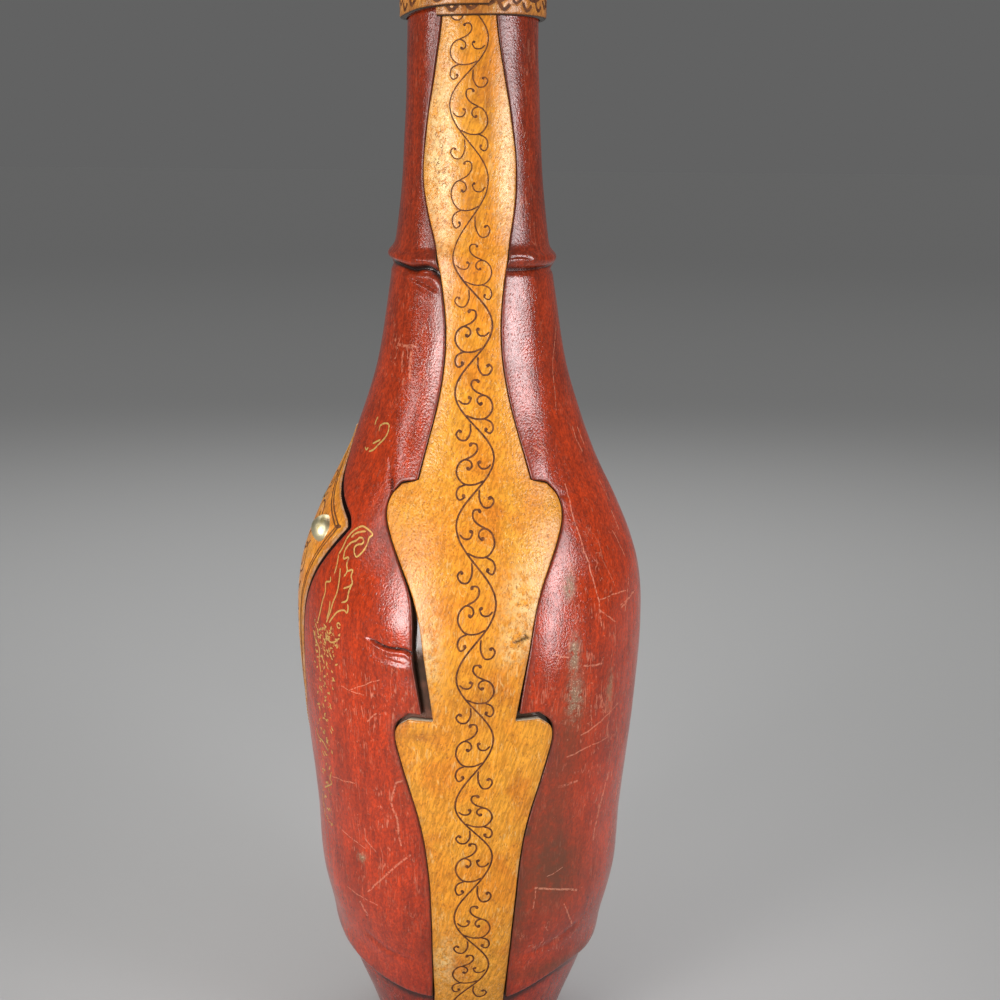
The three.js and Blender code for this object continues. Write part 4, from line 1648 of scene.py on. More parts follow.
@dataclass
class StrapPiece(SubAssembly):
    """A tan strap let into the jacket, with its tooled vine."""

    bearing: Bearing
    node: str
    stock: Stock = Stock(roll=0.45)
    rows: int = 850
    centre_half: float = 6.3
    centre_columns: int = 36
    side_columns: int = 11
    trough_width: float = 0.42
    trough_depth: float = 0.12
    bead_share: float = 0.5
    ledge_curl: float = 0.35
    rough_depth: float = 0.07
    rough_size: float = 14
    proud: float = 0.12
    # Pale patches: real wear low on the strap, and painted highlights at the neck and beside the cap.
    wear_and_highlight: Tuple[Swell, ...] = (
        Swell(13, 147, 6, 9, 1),
        Swell(-12, 134, 3, 12, 0.9),
        Swell(10, 135, 4, 5, 0.9),
        Swell(-7.5, 40, 3, 8, 1),
        Swell(10, 262, 3, 20, 0.8),
        Swell(-8, 258, 4.5, 26, 1.2),
    )
    soiled: Tuple[Swell, ...] = (
        Swell(0, 121, 8, 9, 0.7),
        Swell(4, 272, 3.5, 12, 0.8),
        Swell(1, 246, 5, 7, 0.6),
        Swell(-14, 110.5, 6, 1.6, 0.9),
    )
    nicks: Tuple[Crease, ...] = (
        Crease(((14, 138.2), (11.8, 137.4), (9.4, 137)), 0.3, 0.4),
        Crease(((12.9, 139), (11.8, 137.4)), 0.25, 0.35),
    )

    def surface(self, arc: Array, height: Array, lift: Array) -> Array:
        """Points on the strap, by arc from its middle."""
        angle = (arc + STRAP.drift(height)) / JACKET.radius(height)
        return JACKET.place(angle, height, lift + self.relief(arc, height)) * (self.bearing.value, 1, 1)

    def relief(self, arc: Array, height: Array) -> Array:
        """Lift of the strap's face: it swells over the bead and curls up a little at its ledges.

        Args:
            arc: places along the leather from the strap's middle.
            height: heights of those places.

        Returns:
            Lift at each place.
        """
        bead = self.bead_share * GlassBottle.bead * np.exp(-(((height - JACKET.ring) / 3.4) ** 2))
        below = smoothstep(104, 114, height) * (height < STRAP.ledge_inner[1] + 0.2)
        curl_up = self.ledge_curl * below * smoothstep(9, 18, np.abs(arc))
        rough = JACKET.place(arc / JACKET.radius(height), height, np.zeros_like(arc))
        rough[..., 0] *= self.bearing.value
        return bead + curl_up + self.rough_depth * lumps(rough, self.rough_size, 5) + self.proud

    def sheet(self) -> Sheet:
        """Cuts the strap's leather: even columns under the vine, and columns that follow each side.

        Returns:
            The whole section.
        """
        half, height = spaced(STRAP.side(), np.linspace(0, 1, self.rows), SIDEWAYS).T
        far = np.linspace(height[0], height[-1], self.rows)
        drift, radius = STRAP.drift(height), JACKET.radius(height)
        far_drift, far_radius = STRAP.drift(far), JACKET.radius(far)
        edges = [CutEdge((drift - way * half) / radius, height, np.ones(self.rows), way)
                 for way in (1, -1)]
        out = np.linspace(1, 0, self.side_columns, endpoint=False)
        sides = []
        for edge in edges:
            edge_angle, edge_height = edge.step(self.stock.roll)
            inner = (far_drift - edge.inward * self.centre_half) / far_radius
            sides.append([(
                inner + (edge_angle - inner) * share,
                far + (edge_height - far) * share ** 2,
                (half - self.centre_half) * (1 - share) + self.stock.roll,
            ) for share in out])
        centre = [((arc + far_drift) / far_radius, far, half - abs(arc))
                  for arc in np.linspace(-self.centre_half, self.centre_half, self.centre_columns)]
        face = zip(*(sides[0] + centre + sides[1][::-1]))
        return self.stock.sheet(*edges, *(np.stack(columns, axis=1) for columns in face))

    def build(self) -> None:
        """Builds the strap and its vine, and dresses them."""
        sheet = self.sheet()
        strokes = Vine().strokes()
        arc = sheet.angle * JACKET.radius(sheet.height) - STRAP.drift(sheet.height)
        pressed = trough(arc, sheet.height, strokes, self.trough_width, self.trough_depth)
        nicked = sum(nick.lift(arc, sheet.height) for nick in self.nicks)
        lift = sheet.lift + np.where(sheet.outer, self.relief(arc, sheet.height) + pressed + nicked, 0)
        points = JACKET.place(sheet.angle, sheet.height, lift) * (self.bearing.value, 1, 1)
        wrap = np.stack([arc + FAR_SIDE * (self.bearing is Bearing.LEFT), sheet.height], axis=-1)
        marks = sheet.marks()
        marks["wear_and_highlight"] = sum(patch.lift(arc, sheet.height) for patch in self.wear_and_highlight)
        marks["soil"] = sum(patch.lift(arc, sheet.height) for patch in self.soiled)
        # Painted shade in the nicks, and nearly black on the flesh side under the strap.
        marks["painted_shade"] = np.maximum(np.clip(-nicked / 0.25, 0, 1), smoothstep(0.6, 1.2, -sheet.lift))
        piece = wrapped_grid(self.node + "_leather", points, wrap, marks)
        tidy_mesh(piece, fill=True)
        dress(piece, self.finishes.tan, Body.BOTTLE, Slot.TAN, [self.node])
        vine = tooled_lines(self.node + "_vine", strokes, self.surface, VINE_SUNK, VINE_KEEL)
        dress(vine, self.finishes.burnt, Body.BOTTLE, Slot.TAN)


@dataclass
class JacketCover(SubAssembly):
    """Front or rear half of the red jacket, cut round the straps and, in front, round the shield."""

    half: Half
    node: str
    gaps: CutGaps
    edge: Hem
    stock: Stock = Stock(roll=0.5)
    rows: int = 470
    columns: int = 68
    fine_bands: Tuple[Tuple[float, float, float], ...] = ((230.5, 4, 1.6), (134, 6, 1.2))
    shield_gap: float = 0.9
    hem_proud: float = 1.2
    hem_roll: float = 1.3
    hem_ease: float = 14
    hem_reach: float = 6
    bead: float = 1.55
    slow_depth: float = 0.2
    fine_depth: float = 0.06
    left_share: float = 0.75
    left_shift: float = 3.5
    shift_top: float = 200
    creases: Tuple[Crease, ...] = (
        Crease(((-28.5, 136), (-22.6, 134.3), (-16.5, 134.2), (-14, 132)), 0.42, 0.95, 0.3),
        Crease(((-27, 131.4), (-22, 131), (-16.8, 130.4)), 0.5, 0.2, 0.1),
        Crease(
            ((-36, 231), (-24, 230.6), (-17.5, 229.8), (-11.3, 230.2), (-7, 226.6)), 0.75, 1.35, 0.3,
        ),
        Crease(((-19, 227.6), (-14, 226.4), (-9, 224.4)), 0.45, 0.35, 0.15),
        Crease(((8, 232.9), (13, 233.2), (16.5, 232.6)), 0.4, 0.35, 0),
        Crease(((8, 230.3), (17, 230), (33, 230.2)), 0.55, 0.8, 0),
        Crease(((-21.4, 171.8), (-22.1, 174.4), (-22.5, 176.4)), 0.42, 1, 0),
        Crease(((-22.5, 176), (-22.9, 178.4), (-23.4, 181)), 0.3, 0.4, 0),
        Crease(((24.5, 172.5), (27.5, 171.5), (30.5, 171.8)), 0.5, 0.25, 0.1),
        Crease(((-33, 44), (-24, 40.5), (-14, 39)), 0.9, 0.3, 0.1),
        Crease(((15, 41), (26, 43.5), (36, 47)), 0.9, 0.3, 0.1),
    )
    swells: Tuple[Swell, ...] = (
        Swell(-20, 141.5, 9, 6, 0.8),
        Swell(-20, 130.2, 8, 2.6, 0.55),
        Swell(-19, 181.5, 5, 7, 0.55),
        Swell(19.5, 181, 5, 7, 0.55),
        Swell(20.5, 131, 6, 13, 0.5),
        Swell(-18, 124, 5, 7, 0.35),
    )
    wear_and_highlight: Tuple[Swell, ...] = (
        Swell(-30, 119, 13, 11, 1),
        Swell(-25, 78, 15, 16, 0.7),
        Swell(33, 122, 12, 14, 1),
        Swell(44, 98, 9, 22, 0.9),
        Swell(24, 45, 11, 6, 0.8),
        Swell(36, 152, 9, 14, 0.6),
        Swell(-22, 208, 6, 9, 0.9),
        Swell(14, 262, 6, 26, 0.6),
    )
    soiled: Tuple[Swell, ...] = (
        Swell(22, 82, 10, 26, 0.9),
        Swell(27, 66, 12, 12, 0.8),
        Swell(13, 56, 3, 16, 0.9),
        Swell(29, 110, 6, 14, 0.6),
        Swell(16, 81.7, 0.8, 1.1, 2),
        Swell(26, 34, 14, 2.6, 0.9),
        Swell(-16, 100, 4, 14, 0.4),
    )
    crusted: Tuple[Swell, ...] = (
        Swell(29.2, 131.1, 1.5, 5, 1.5),
        Swell(29.9, 118.6, 2.3, 5.2, 1.5),
        Swell(43.8, 117.3, 1.2, 5, 1.2),
        Swell(27.4, 149.4, 1.8, 2.8, 1.3),
        Swell(-32.6, 69.1, 1.5, 1.5, 1.3),
    )

    def hem(self, angle: Array) -> Array:
        """Height of the lower edge at bearings from a strap."""
        return self.edge.height(np.abs(angle) * JACKET.radii[2])

    def relief(self, angle: Array, height: Array, mirror: float) -> Array:
        """Lift of the leather's face: the bead, creases, bulges and unevenness.

        Args:
            angle: bearings from the nearer strap, negative towards the front.
            height: heights on the jacket.
            mirror: 1 by the right strap, -1 by the left one.

        Returns:
            Lift at each place.
        """
        arc = angle * JACKET.radius(height)
        ring = JACKET.ring + 0.5 * np.sin(3 * angle + 0.6)
        total = self.bead * np.exp(-(((height - ring) / 2) ** 2))
        total -= 0.55 * np.exp(-(((height - ring + 3.1) / 0.9) ** 2))
        total += self.summed((*self.creases, *self.swells), arc, height, mirror)
        spots = JACKET.place(angle, height, np.zeros_like(angle))
        spots[..., 0] *= mirror
        slow = lumps(spots * (1, 1, 0.5), 24, 3)
        fine = lumps(spots * (1, 1, 0.35), 7.5, 8)
        return total + self.slow_depth * slow + self.fine_depth * fine

    def summed(self, features: Sequence[Feature], arc: Array, height: Array, mirror: float) -> Array:
        """Sum of features, which lie lower and weaker where the mirror is -1, by the left strap."""
        share, shift = (1, 0) if mirror > 0 else (self.left_share, self.left_shift)
        return share * sum(item.lift(arc, height + shift * (height < self.shift_top)) for item in features)

    def surface(self, arc: Array, height: Array, lift: Array, mirror: float = 1) -> Array:
        """Points on the cover, by arc from a strap's middle."""
        angle = arc / JACKET.radius(height)
        return JACKET.place(angle, height, lift + self.relief(angle, height, mirror)) * (mirror, 1, 1)

    def _middle_edge(self, shares: Array) -> CutEdge:
        """Edge on the middle plane, which runs round the shield in front.

        Args:
            shares: shares of the edge's length.

        Returns:
            The edge at those shares.
        """
        line = np.array([(0, JACKET.top), (0, JACKET.crease)])
        if self.half is Half.FRONT:
            line = np.vstack([line[:1], SHIELD.side(self.shield_gap), line[1:]])
        line = spaced(line, shares, SIDEWAYS)
        angle = math.pi / 2 - line[:, 0] / JACKET.radius(line[:, 1])
        return CutEdge(angle, line[:, 1], smoothstep(0, 2, line[:, 0]), -1)

    def _strap_edge(self, shares: Array) -> CutEdge:
        """Edge along the strap.

        Args:
            shares: shares of the edge's length.

        Returns:
            The edge at those shares.
        """
        line = STRAP.side(self.gaps)
        line = line[line[:, 1] > JACKET.crease]
        line = spaced(np.vstack([line, [line[-1, 0], JACKET.crease]]), shares, SIDEWAYS)
        arc = line[:, 0] + self.half.value * STRAP.drift(line[:, 1])
        return CutEdge(arc / JACKET.radius(line[:, 1]), line[:, 1], np.ones(len(shares)), 1)

    def _row_shares(self, end: float) -> Array:
        """Shares of the rows down the jacket, closer together at the bead and the fold.

        Args:
            end: share of the last row.

        Returns:
            Rising shares from 0.
        """
        even = np.linspace(0, end, 4 * self.rows)
        lines = (JACKET.top - (JACKET.top - JACKET.crease) * even, self._strap_edge(even).height)
        weight = np.ones_like(even)
        for height, reach, gain in self.fine_bands:
            for line in lines:
                weight += gain * np.exp(-(((line - height) / reach) ** 2))
        run = np.concatenate([[0], np.cumsum(weight[1:])])
        return np.interp(np.linspace(0, run[-1], self.rows), run, even)

    def quarter(self, mirror: float) -> Piece:
        """One quarter of the jacket, from a strap to the middle plane.

        Args:
            mirror: 1 by the right strap, -1 by the left one.

        Returns:
            The quarter, open where it meets the other one.
        """
        tall = JACKET.top - JACKET.crease
        roll_share = self.hem_roll / tall
        main = self._row_shares(1 - roll_share)
        shares = np.concatenate([main, 1 - roll_share * np.array(ROLL_SHARES[::-1])])
        first = self._strap_edge(shares)
        second = self._middle_edge(shares)
        far = JACKET.top - tall * shares
        first_angle, first_height = first.step(self.stock.roll)
        second_angle, second_height = second.step(self.stock.roll)
        u = np.linspace(0, 1, self.columns)
        u = 0.65 * u + 0.35 * smoothstep(0, 1, u)
        angle = first_angle[:, None] + (second_angle - first_angle)[:, None] * u
        height = far[:, None] + (first_height - far)[:, None] * (1 - u) ** 3
        height = height + (second_height - far)[:, None] * u ** 3
        arc = (angle - first_angle[:, None]) * JACKET.radius(height)
        back = (second_angle[:, None] - angle) * JACKET.radius(height)
        reach = np.minimum(arc, np.where(second.cut[:, None] > 0.5, back, arc)) + self.stock.roll
        sheet = self.stock.sheet(first, second, angle, height, reach)
        hem = self.hem(sheet.angle)
        z = sheet.height + (hem - JACKET.crease) * np.exp(-(sheet.height - JACKET.crease) / self.hem_ease)
        up = np.maximum(z - hem, 0)
        left = np.maximum(self.hem_roll - up, 0)
        drop = self.hem_roll - np.sqrt(np.maximum(self.hem_roll ** 2 - left ** 2, 0))
        proud = self.hem_proud * np.exp(-((up / self.hem_reach) ** 2))
        signed = sheet.angle * self.half.value
        lift = sheet.lift + np.where(sheet.outer, self.relief(signed, z, mirror) + proud - drop, 0)
        lift = np.maximum(lift, -self.stock.thickness)
        points = JACKET.place(signed, z, lift) * (mirror, 1, 1)
        on_plane = np.abs(sheet.angle - math.pi / 2) < TINY
        points[..., 0] = np.where(on_plane, 0, points[..., 0])
        arc = signed * JACKET.radius(z)
        wrap = np.stack([arc + FAR_SIDE * (mirror < 0), z], axis=-1)
        marks = sheet.marks()
        for mark, patches in (("wear_and_highlight", self.wear_and_highlight), ("soil", self.soiled), ("crust", self.crusted)):
            marks[mark] = self.summed(patches, arc, z, mirror)
        # Painted shade: the deeper a crease, the darker it is painted, and the hem's roll is painted dark
        # just above its lower edge.
        crease_shade = np.clip(-self.summed(self.creases, arc, z, mirror) / 0.8 - 0.15, 0, 1)
        marks["painted_shade"] = np.maximum(crease_shade, 0.9 * np.exp(-((up / 0.6) ** 2))) * sheet.outer
        piece = wrapped_grid(self.node + "_quarter", points, wrap, marks)
        flat = np.abs(points[..., 0]).ravel() < SLIVER
        delete_faces(piece, flat[corners(piece.data).reshape(-1, 4)].all(axis=1))
        return piece

    def build(self) -> None:
        """Builds and dresses the cover."""
        piece = joined(self.node + "_leather", [self.quarter(1), self.quarter(-1)])
        tidy_mesh(piece, merge=5e-6, fill=True)
        dress(piece, self.finishes.red, Body.BOTTLE, Slot.RED, [self.node])


@dataclass
class GoldTooling(SubAssembly):
    """Gold leaf tooling on the front cover, beside the shield: a scroll, a curled leaf and rubbed flecks."""

    cover: JacketCover
    width: float = 0.45
    proud: float = 0.05
    keel: float = 0.2
    leaf: Tuple[Tuple[Pair, ...], ...] = (
        ((-40.5, 155.1), (-39, 157), (-37.7, 159.3), (-35.6, 161.4), (-33.3, 162.8), (-31.6, 163.4),
         (-29.7, 163), (-27.8, 162), (-29, 161), (-29.3, 159.9), (-30.2, 158.3), (-31.5, 156.9),
         (-33.2, 155.8), (-34.1, 156.7), (-34.1, 157.9), (-32.9, 158.8), (-31.4, 159.2), (-30.8, 160),
         (-31.5, 160.6), (-32.7, 160.4), (-33.3, 159.8)),
        ((-35.9, 160), (-34.2, 161.2), (-32.1, 162), (-30.2, 162.4)),
        ((-38.3, 154.3), (-37.9, 156.4), (-36.9, 157.8), (-35.4, 158.9), (-33.7, 159.6), (-33.1, 160.2)),
        ((-38.3, 154.3), (-36.1, 155.1), (-36.7, 153.5), (-36.3, 151.7), (-37.5, 150.1)),
        ((-36.3, 151.7), (-34.2, 152.4), (-34.6, 150.8), (-34.1, 149), (-37.4, 147.1)),
        ((-34.1, 149), (-35.2, 146.8), (-35.9, 144.4), (-38.1, 143.3)),
        ((-35.5, 143.6), (-35.3, 142.3), (-35.8, 141.1), (-36.7, 141.6), (-39.4, 140.7), (-41.3, 139),
         (-43.4, 136.7)),
        ((-40.5, 155.1), (-40.8, 152.6), (-41.7, 150)),
        ((-43.4, 149.1), (-43.4, 147.8), (-45.6, 147), (-45.7, 144.5), (-47, 141.6), (-48, 138.6),
         (-49.3, 135.5)),
        ((-39.2, 152), (-39.3, 149.1), (-39.9, 145.8), (-41.7, 142.5), (-43.1, 139.2), (-44.7, 136.4)),
        ((-43, 142.8), (-43.4, 140.1), (-44.5, 137.4)),
        ((-43.9, 133), (-43.2, 131.6), (-41.4, 131.8), (-38.7, 133.6)),
        ((-52.2, 132.4), (-50.9, 130), (-48.6, 128), (-49.1, 124.6), (-48.4, 120.9)),
        ((-54.9, 101.8), (-53.3, 99.6), (-50.3, 99.3), (-46.6, 97.3)),
        ((-45.6, 91.3), (-47, 88.3), (-46, 87.6), (-51.8, 83.7)),
        ((-54.8, 80.5), (-54.8, 76.8), (-53.9, 73.5)),
    )
    scroll: Tuple[Tuple[Pair, ...], ...] = (
        ((-28.6, 186.7), (-28.4, 188), (-26.5, 189), (-24.5, 189), (-24.5, 187.2), (-25.9, 185.3),
         (-27.9, 183.8), (-30.3, 182), (-32.6, 181.1)),
        ((-27.6, 184.8), (-29.3, 184.1), (-31.1, 183.3)),
        ((-34.7, 182), (-33.8, 181.4), (-32.9, 182.2)),
        ((-29.7, 190.3), (-30.5, 189.2), (-31, 187.9)),
    )
    ring: Pair = (-39.1, 137)
    ring_radius: float = 0.7
    flecks: int = 230
    fleck_top: Pair = (-45.5, 134)
    fleck_low: Pair = (-51, 72)
    fleck_spread: float = 5.4
    fleck_width: float = 0.55

    def strokes(self) -> List[Stroke]:
        """Lines on the right of the shield.

        Returns:
            Strokes by arc from the right strap and height.
        """
        made = [Stroke(line, self.width) for line in (*self.leaf, *self.scroll)]
        made.append(Stroke(tuple(curl(self.ring, self.ring_radius, 0, 0.95, 1)), self.width))
        for k in range(self.flecks):
            share = ((0.7549 * k) % 1) ** 2.2
            across = self.fleck_spread * (2 * ((0.5698 * k) % 1) - 1) * (1 - 0.6 * share)
            x = self.fleck_top[0] + (self.fleck_low[0] - self.fleck_top[0]) * share + across
            z = self.fleck_top[1] + (self.fleck_low[1] - self.fleck_top[1]) * share
            x += 1.3 * math.sin(7.1 * k)
            z += 1.6 * math.sin(5.3 * k + 1)
            size = 0.5 + 0.3 * math.sin(1.7 * k)
            turn = 1.57 + 1.3 * math.sin(2.9 * k)
            bend = 0.5 * math.cos(4.3 * k)
            dx, dz = size * math.cos(turn), size * math.sin(turn)
            line = ((x - dx, z - dz), (x - bend * dz, z + bend * dx), (x + dx, z + dz))
            made.append(Stroke(line, self.fleck_width))
        return made

    def build(self) -> None:
        """Lays the lines on both sides of the shield."""
        sides = []
        for mirror in (1, -1):
            def surface(arc: Array, height: Array, lift: Array, mirror: float = mirror) -> Array:
                """Points on one side of the front cover."""
                return self.cover.surface(arc, height, lift, mirror)
            sides.append(tooled_lines("front_gilding", self.strokes(), surface, self.proud, self.keel))
        piece = joined("front_gilding", sides)
        dress(piece, self.finishes.gold, Body.BOTTLE, Slot.RED)


@dataclass
class ShieldPiece(SubAssembly):
    """Tan shield let into the front cover, with a beaded border, a tooled leaf and two brass studs."""

    stock: Stock = Stock(roll=0.35)
    proud: float = 0.2
    rows: int = 270
    columns: int = 96
    crown: float = 0.2
    bead_pitch: float = 1.25
    bead_steps: int = 6
    bead_inset: float = 1
    bead_rise: float = 0.22
    border_width: float = 0.45
    leaf: Tuple[Pair, ...] = ((0, 1.9), (1.1, 1.7), (2, 1.1))
    scrolls: Tuple[Pair, ...] = (
        (170, 3), (160, 5.4), (148, 5.2), (136, 4.4), (125, 3.6), (115, 2.6),
    )
    stud_radius: float = 3.9
    stud_dome: float = 3.1
    shank: float = 0.8
    shank_length: float = 1.4
    stud_out: float = 17
    stud_height: float = 159.2
    front: float = -math.pi / 2
    wrap_start: float = 3000

    def relief(self, arc: Array, height: Array) -> Array:
        """Lift of the shield's face: a low crown with a beaded border.

        Args:
            arc: places along the leather from the front.
            height: heights of those places.

        Returns:
            Lift at each place.
        """
        side = evenly(SHIELD.side(), self.bead_pitch / self.bead_steps)
        away, number = nearest(np.vstack([side, side[::-1] * (-1, 1)]), arc, height)
        run = number / self.bead_steps
        ring = np.exp(-(((away - self.bead_inset) / 0.45) ** 2))
        beads = self.bead_rise * ring * (0.55 + 0.45 * np.cos(2 * math.pi * run))
        groove = -0.2 * np.exp(-(((away - self.bead_inset - 1.1) / 0.4) ** 2))
        tip, point = SHIELD.head[0][1], SHIELD.body[-1][1]
        ends = smoothstep(0, 16, np.minimum(tip - height, height - point))
        return beads + groove + self.crown * smoothstep(0, 7, away) + self.proud * ends

    def strokes(self) -> List[Stroke]:
        """Tooled lines: two borders and a leaf scroll about the middle.

        Returns:
            Strokes by arc from the front and height.
        """
        made = []
        for inset in (3, 4):
            side = SHIELD.side(-inset)
            high = SHIELD.head[0][1] - 2 * inset
            low = SHIELD.body[-1][1] + 2.8 * inset
            side = side[(side[:, 0] > 0.4) & (side[:, 1] < high) & (side[:, 1] > low)]
            line = tuple(map(tuple, evenly(side, 1.5)))
            border = [Stroke(line, self.border_width)]
            made += border + flipped(border)
        made.append(Stroke(((0, 175), (0, 150), (0, 120), (0, 104)), 0.5, 0.5))
        for height, size in self.scrolls:
            root = (0, height - 1.6 * size)
            over = (0.9 * size, height - 0.9 * size)
            ring = curl((1.25 * size, height + 0.1 * size), size, -70, 1.35)
            leaf = tuple((out * size, height - down * size) for out, down in self.leaf)
            right = [Stroke((root, over, *ring[1:]), 0.5, 0.45), Stroke(leaf, 0.45, 0.35)]
            made += right + flipped(right)
        return made

    def surface(self, arc: Array, height: Array, lift: Array) -> Array:
        """Points on the shield, by arc from the front."""
        angle = self.front + arc / JACKET.radius(height)
        return JACKET.place(angle, height, lift + self.relief(arc, height))

    def _plate(self) -> None:
        """Builds the shield's leather and its tooled lines."""
        shares = np.linspace(0, 1, self.rows)
        half, height = spaced(SHIELD.side(), shares, SIDEWAYS).T
        radius = JACKET.radius(height)
        cut = smoothstep(0, 2, half)
        first = CutEdge(-half / radius, height, cut, 1)
        second = CutEdge(half / radius, height, cut, -1)
        first_angle, first_height = first.step(self.stock.roll)
        second_angle, _ = second.step(self.stock.roll)
        u = np.linspace(0, 1, self.columns)
        angle = first_angle[:, None] + (second_angle - first_angle)[:, None] * u
        far = np.linspace(height[0], height[-1], self.rows)
        share = np.abs(2 * u - 1) ** 2
        blend = far + (first_height - far) * smoothstep(0, 6, np.minimum(shares, 1 - shares) * 100)
        height_face = blend[:, None] + (first_height - blend)[:, None] * share
        reach = (half[:, None] + 1e-6) * (1 - np.abs(2 * u - 1))
        sheet = self.stock.sheet(first, second, angle, height_face, reach)
        arc = sheet.angle * JACKET.radius(sheet.height)
        strokes = self.strokes()
        raised = self.relief(arc, sheet.height) + trough(arc, sheet.height, strokes, 0.45, 0.15)
        lift = sheet.lift + np.where(sheet.outer, raised, 0)
        points = JACKET.place(self.front + sheet.angle, sheet.height, lift)
        wrap = np.stack([arc + self.wrap_start, sheet.height], axis=-1)
        marks = sheet.marks()
        # Painted highlight: the rolled rim is paled as if light caught the lip, with some wear.
        marks["wear_and_highlight"] = sheet.skin * (sheet.rim > 0.8)
        piece = wrapped_grid("shield_leather", points, wrap, marks)
        tidy_mesh(piece, fill=True)
        dress(piece, self.finishes.shield, Body.BOTTLE, Slot.TAN, ["front_shield"])
        lines = tooled_lines("shield_tooling", strokes, self.surface, VINE_SUNK, VINE_KEEL)
        dress(lines, self.finishes.burnt, Body.BOTTLE, Slot.TAN)

    def _stud(self, node: str, side: float) -> None:
        """Builds one domed stud, standing square on the shield.

        Args:
            node: CAD node that it stands for.
            side: 1 on the right, -1 on the left.
        """
        profile = stud_profile(self.stud_radius, self.stud_dome, self.shank, self.shank_length)
        piece = turned(node + "_dome", profile, 40)
        dented(piece, 3, 0.07, 4 if side > 0 else 9)
        radius = float(JACKET.radius(np.array(self.stud_height)))
        slope = float(JACKET.slope(np.array(self.stud_height)))
        angle = self.front + side * self.stud_out / radius
        tilt = Matrix.Rotation(math.pi / 2 - math.atan(-slope), 4, "Y")
        out = Matrix.Translation(Vector((radius, 0, self.stud_height)) * MM)
        turn = Matrix.Rotation(angle, 4, "Z")
        seat = Matrix.Translation(Vector((0, 0, (self.proud + self.crown) * MM)))
        piece.data.transform(turn @ out @ tilt @ seat)
        dress(piece, self.finishes.brass, Body.BOTTLE, Slot.BRASS, [node])

    def build(self) -> None:
        """Builds the shield with its studs."""
        self._plate()
        self._stud("shield_stud_right", 1)
        self._stud("shield_stud_left", -1)


def stud_profile(radius: float, dome: float, shank: float, shank_length: float) -> List[Pair]:
    """Outline of a domed nail, from its crown to the end of its shank.

    Args:
        radius: radius of the dome.
        dome: its height.
        shank: radius of the shank.
        shank_length: length of the shank.

    Returns:
        Points of radius and height.
    """
    ball = (radius * radius + dome * dome) / (2 * dome)
    whole = math.asin(min(radius / ball, 1))
    crown = []
    for angle in np.linspace(0, whole, 14):
        crown.append((ball * math.sin(angle), dome - ball + ball * math.cos(angle)))
    rim = [(radius + 0.06, -0.12), (radius - 0.05, -0.3), (radius - 0.5, -0.34), (shank, -0.34)]
    return [*crown, *rim, (shank, -shank_length), (0, -shank_length)]


